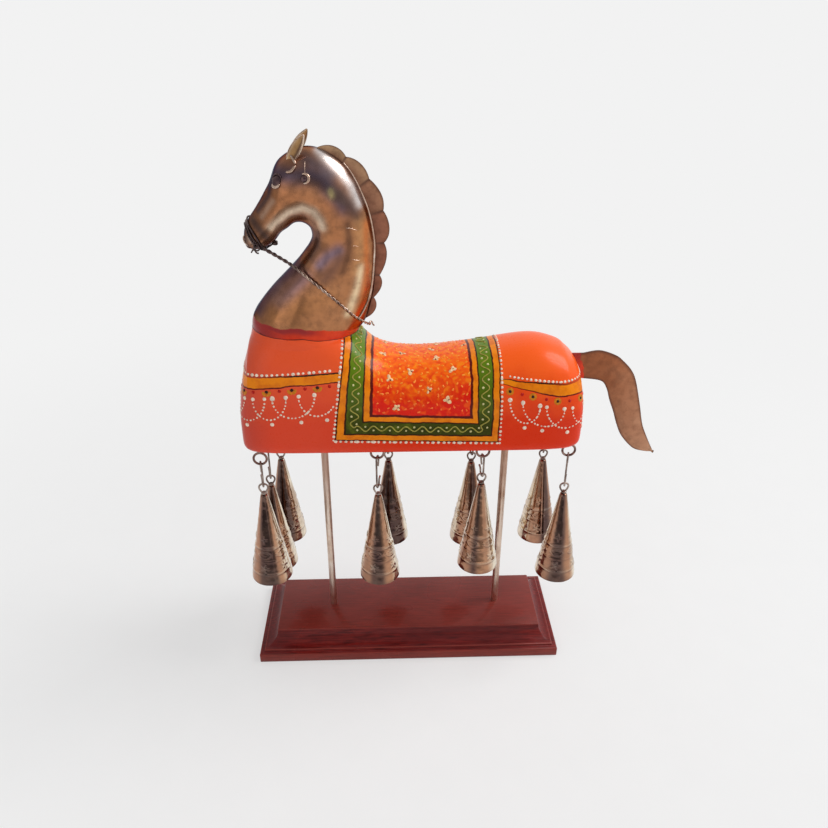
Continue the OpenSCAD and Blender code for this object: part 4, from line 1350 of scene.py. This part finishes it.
def buildRein(spec):
    bm = bmesh.new()
    route = smoothCurve(spec["route"], 220)
    route = [p + Vector((neck["x"], 0, neck["z"])) for p in route]
    marks = pathLength(route)
    for phase in (0.0, math.pi):
        path = []
        for (p, u, v), s in zip(frames(route), marks):
            a = 2 * math.pi * s / spec["twist"] + phase
            path.append(p + spec["rein"] * (u * math.cos(a) + v * math.sin(a)))
        wire(bm, path, lambda share: spec["rein"] * (0.85 + 0.55 * max(0.0, 1 - share / 0.4)))
    end = route[-1]
    pigtail = [end + Vector((0.4 * i - 0.2, -1.2 * math.cos(i * 0.7), 1.2 * math.sin(i * 0.7)))
               for i in range(8)]
    wire(bm, smoothCurve(pigtail, 32), spec["rein"])
    addPiece("rein_twisted", bm, reinWire, stands=["rein"])


def reinMaterial():
    tones = (112, 90, 82), (184, 156, 140), (232, 212, 196)
    material, tree, shader = metalMaterial("rein_wire", tones, 140.0)
    darker = remap(tree, axes(tree)[0], -0.062, -0.054, 0.85, 0.0)  # towards the muzzle
    tintOver(tree, shader, darker, srgb(84, 68, 70))
    return material


darkWire = metalMaterial("noseband_iron", ((48, 38, 40), (88, 72, 72), (128, 112, 108)), 140.0)[0]
reinWire = reinMaterial()
buildNoseband(harness)
buildRein(harness)
print("noseband and rein wound")

# hanging bells: links, eyes, rolled cones and clappers

chains = ["left_1", "left_2", "left_3", "left_4", "right_1", "right_2", "right_3", "right_4", "chest"]
bell = {"high": 61.0, "crown": 2.2, "mouth": 13.0, "sheet": 0.7, "around": 128, "steps": 86, "hammer": 0.1,
        "rings": ((35.5, 0.42), (44.5, 0.2), (53.5, 0.42)), "seam": 0.28, "motif": 0.55, "lip": 0.25,
        "bare": 0.16}
hang = {"wire": 0.58, "link": 2.0, "loop": 3.2, "hook": 1.5, "hookDrop": 10.0, "turn": 18, "free": 3.4}
# per bell: turn of the dark streak, a painted reflection down the front, its width, turn of the seam, turn of
# the stamped motifs
bellLooks = {"left_1": (-5, 46, -70, 40), "left_2": (-6, 28, 80, 35), "left_3": (-18, 14, -17, 22),
             "left_4": (-8, 38, 95, 40), "right_1": (-8, 62, 60, 15), "right_2": (-5, 78, 100, 14),
             "right_3": (16, 38, -60, -30), "right_4": (26, 28, -80, 44), "chest": (5, 40, 70, 30)}


def flower(u, v, size, petals):
    reach = math.hypot(u, v) / size
    turn = math.atan2(v, u)
    edge = 0.62 + 0.38 * math.cos(petals * turn)
    petal = max(0.0, 1 - (reach / max(edge, 0.05)) ** 2) if reach > 0.2 else 0
    return max(petal ** 0.5 * 0.9, max(0.0, 1 - (reach / 0.24) ** 2))


def leafRelief(u, v, length, width):
    inside = 1 - (u / length) ** 2 - abs(v) / width * 1.2
    rim = max(0.0, 1 - abs(inside) / 0.35)
    return rim * 0.9 + (max(0.0, 1 - abs(v) / 0.5) * 0.5 if inside > 0.2 else 0)


def bellRelief(spec, looks, degrees, drop, radius):
    seam, motif = looks[2:]
    height = 0.0
    for at, rise in spec["rings"]:
        height += rise * math.exp(-((drop - at) / 0.62) ** 2)
    arc = math.radians((degrees - seam + 180) % 360 - 180) * radius
    height -= spec["seam"] * math.exp(-(arc / 0.55) ** 2)
    height += spec["seam"] * 0.6 * max(0.0, 1 - arc / 3.0) * (1 if 0 < arc < 3.0 else 0)
    for turn in (0, 72, 144, 216, 288):
        u = math.radians((degrees - motif - turn + 180) % 360 - 180) * radius
        height += spec["motif"] * flower(u, drop - 49.2, 3.6, 5)
        height += spec["motif"] * 0.8 * leafRelief(u, drop - 40.0, 4.4, 2.4)
        height += spec["motif"] * 0.8 * flower(u, drop - 29.5, 2.6, 4)
    height -= spec["lip"] * math.exp(-((drop - spec["high"]) / 1.2) ** 2)
    p = Vector((math.cos(math.radians(degrees)) * radius, math.sin(math.radians(degrees)) * radius, drop))
    return height + spec["hammer"] * noise.noise(p * 0.35 + Vector((seam, motif, 0)))


def bellTint(looks, degrees, drop, seed):
    dark, wide = looks[:2]
    turn = (degrees + 90 - dark + 180) % 360 - 180  # from the middle of the streak, front
    if abs(turn) > 110:
        turn = (turn + 180 + 180) % 360 - 180
    stain = noise.noise(Vector((degrees * 0.02, drop * 0.05, seed)))
    # painted reflection: a dark streak down the front of each bell, and cream sides that brighten towards the
    # edges
    shade = 1 / (1 + math.exp((abs(turn) - wide * 0.62 * (1 + 0.35 * stain)) / 4.0))
    if turn > 0:
        tone = blend((188, 138, 106), (250, 240, 218), (turn - 44) / 26)
    else:
        tone = blend((186, 136, 108), (240, 224, 200), (-turn - 56) / 22)
    tone = blend(tone, (150, 108, 84), max(0, stain) * 0.7)
    tone = blend(tone, (50, 38, 46), shade * 0.93)
    return blend(tone, (110, 84, 78), max(0, 1 - drop / 14) * 0.5)


def buildBell(spec, name, looks, seed):
    low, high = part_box(name + "_bell")
    centre = (low + high) / 2 / mm
    crown = high.z / mm
    bm = bmesh.new()
    run = bm.verts.new((0.7, 0, 0))
    outline = [(spec["crown"] * 0.75, -0.02), (spec["crown"] * 0.96, -0.35)]
    for i in range(1, spec["steps"] + 1):
        drop = 0.9 + (spec["high"] - 0.9) * i / spec["steps"]
        outline.append((spec["crown"] + (spec["mouth"] - spec["crown"]) * drop / spec["high"], -drop))
    for r, z in outline:
        run = bmesh.ops.extrude_vert_indiv(bm, verts=[run])["verts"][0]
        run.co = (r, 0, z)
    bmesh.ops.spin(bm, geom=bm.verts[:] + bm.edges[:], cent=(0, 0, 0), axis=(0, 0, 1), angle=2 * math.pi,
                   steps=spec["around"], use_merge=True, use_duplicate=False)
    bmesh.ops.remove_doubles(bm, verts=bm.verts, dist=0.001)
    bm.faces.ensure_lookup_table()
    probe = bm.faces[len(bm.faces) // 2]
    turnOut(bm, probe, probe.calc_center_median() * Vector((1, 1, 0)))
    colour = bm.verts.layers.float_color.new("patinaAndPaintedLight")
    shift = {}
    for v in bm.verts:
        degrees = math.degrees(math.atan2(v.co.y, v.co.x))
        drop = -v.co.z
        tone = bellTint(looks, degrees, drop, seed)
        if drop > 1.0:
            out = Vector((v.co.x, v.co.y, 0))
            rise = bellRelief(spec, looks, degrees, drop, out.length)
            slope = rise - bellRelief(spec, looks, degrees, drop - 0.9, out.length)
            # painted highlight on the raised relief, and painted shade where the relief falls away below a
            # ring
            tone = blend(tone, (250, 234, 210), (rise - spec["bare"]) * 1.8 * (0.3 + tone[0] / 270))
            tone = blend(tone, (62, 44, 42), -slope * 1.2)
            shift[v] = out.normalized() * rise
        v[colour] = (*srgb(*tone)[:3], 1.0)
    for v, move in shift.items():
        v.co += move
    bmesh.ops.solidify(bm, geom=bm.faces, thickness=spec["sheet"])
    bmesh.ops.translate(bm, verts=bm.verts, vec=(centre.x, centre.y, crown))
    addPiece(name + "_bell_rolled", bm, bellMetal, body=name + "_ringer",
             stands=[name + "_bell"], sharp=60)
    return Vector((centre.x, centre.y, crown))


def buildBellEye(spec, name, crown):
    bm = bmesh.new()
    hookAt = -spec["hookDrop"]
    path = []
    for i in range(17):
        a = math.radians(110 + 340 * i / 16)
        path.append(Vector((spec["hook"] * math.cos(a), 0, hookAt + spec["hook"] * math.sin(a))))
    path.append(Vector((0, 0, hookAt + 2.4)))
    path += [Vector((0, 0, z)) for z in (-5, -2, 0.2)]
    mid = 0.75 + spec["loop"]
    for i in range(33):
        a = math.radians(-86 + 352 * i / 32)
        pinch = 0.3 + 0.7 * ((math.sin(a) + 1) / 2) ** 0.55
        across = spec["loop"] * math.cos(a) * pinch
        path.append(Vector((across, 0.35 * math.cos(a / 2), mid + spec["loop"] * math.sin(a))))
    for i in range(1, 15):
        a = math.radians(200 + 44 * i)
        path.append(Vector((1.25 * math.cos(a), 1.25 * math.sin(a), 1.5 - 0.07 * i)))
    path = [p + crown for p in path]
    wire(bm, path, spec["wire"])
    addPiece(name + "_eye_wire", bm, wireMetal, body=name + "_ringer",
             stands=[name + "_bell_eye"])


def buildLink(spec, name, turn):
    low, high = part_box(name + "_link")
    centre = (low + high) / 2 / mm
    top, bottom = high.z / mm - 0.6, low.z / mm + 0.6
    r = spec["link"]
    arc = [(r * math.cos(a), r * math.sin(a)) for a in (math.radians(15 * k) for k in range(1, 12))]
    flat = [(0.9, top - r - 5.5), (1.5, top - r - 3.6), (r, top - r - 1.2)]
    flat += [(h, top - r + z) for h, z in arc]
    flat += [(-r, top - r - 1.0), (-r, (top + bottom) / 2), (-r, bottom + r + 1.0)]
    flat += [(-h, bottom + r - z) for h, z in arc]
    flat += [(r + 0.1, bottom + r + 1.2), (r + 0.9, bottom + r + 2.6), (r + 2.2, bottom + r + spec["free"])]
    c, s = math.cos(math.radians(turn)), math.sin(math.radians(turn))
    path = [Vector((centre.x + h * s, centre.y + h * c, z)) for h, z in flat]
    bm = bmesh.new()
    wire(bm, smoothCurve(path, 120), spec["wire"])
    addPiece(name + "_link_wire", bm, wireMetal, body=name + "_hanger",
             stands=[name + "_link"])


bellMetal = metalMaterial("bell_brass", ((128, 98, 84), (186, 150, 124), (226, 204, 176)), 70.0,
                          rough=(0.09, 0.2), tinted=True, bumps=0.04)[0]
for number, name in enumerate(chains):
    crown = buildBell(bell, name, bellLooks[name], number * 3.7)
    buildBellEye(hang, name, crown)
    buildLink(hang, name, hang["turn"] * (1 if number % 2 else -1))
    dress(name + "_clapper", wireMetal)
print("bells hung:", len(chains))

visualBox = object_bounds()
for title, box in (("cad box", cadBox), ("visual box", visualBox)):
    print(title, [[round(c, 4) for c in corner] for corner in box])
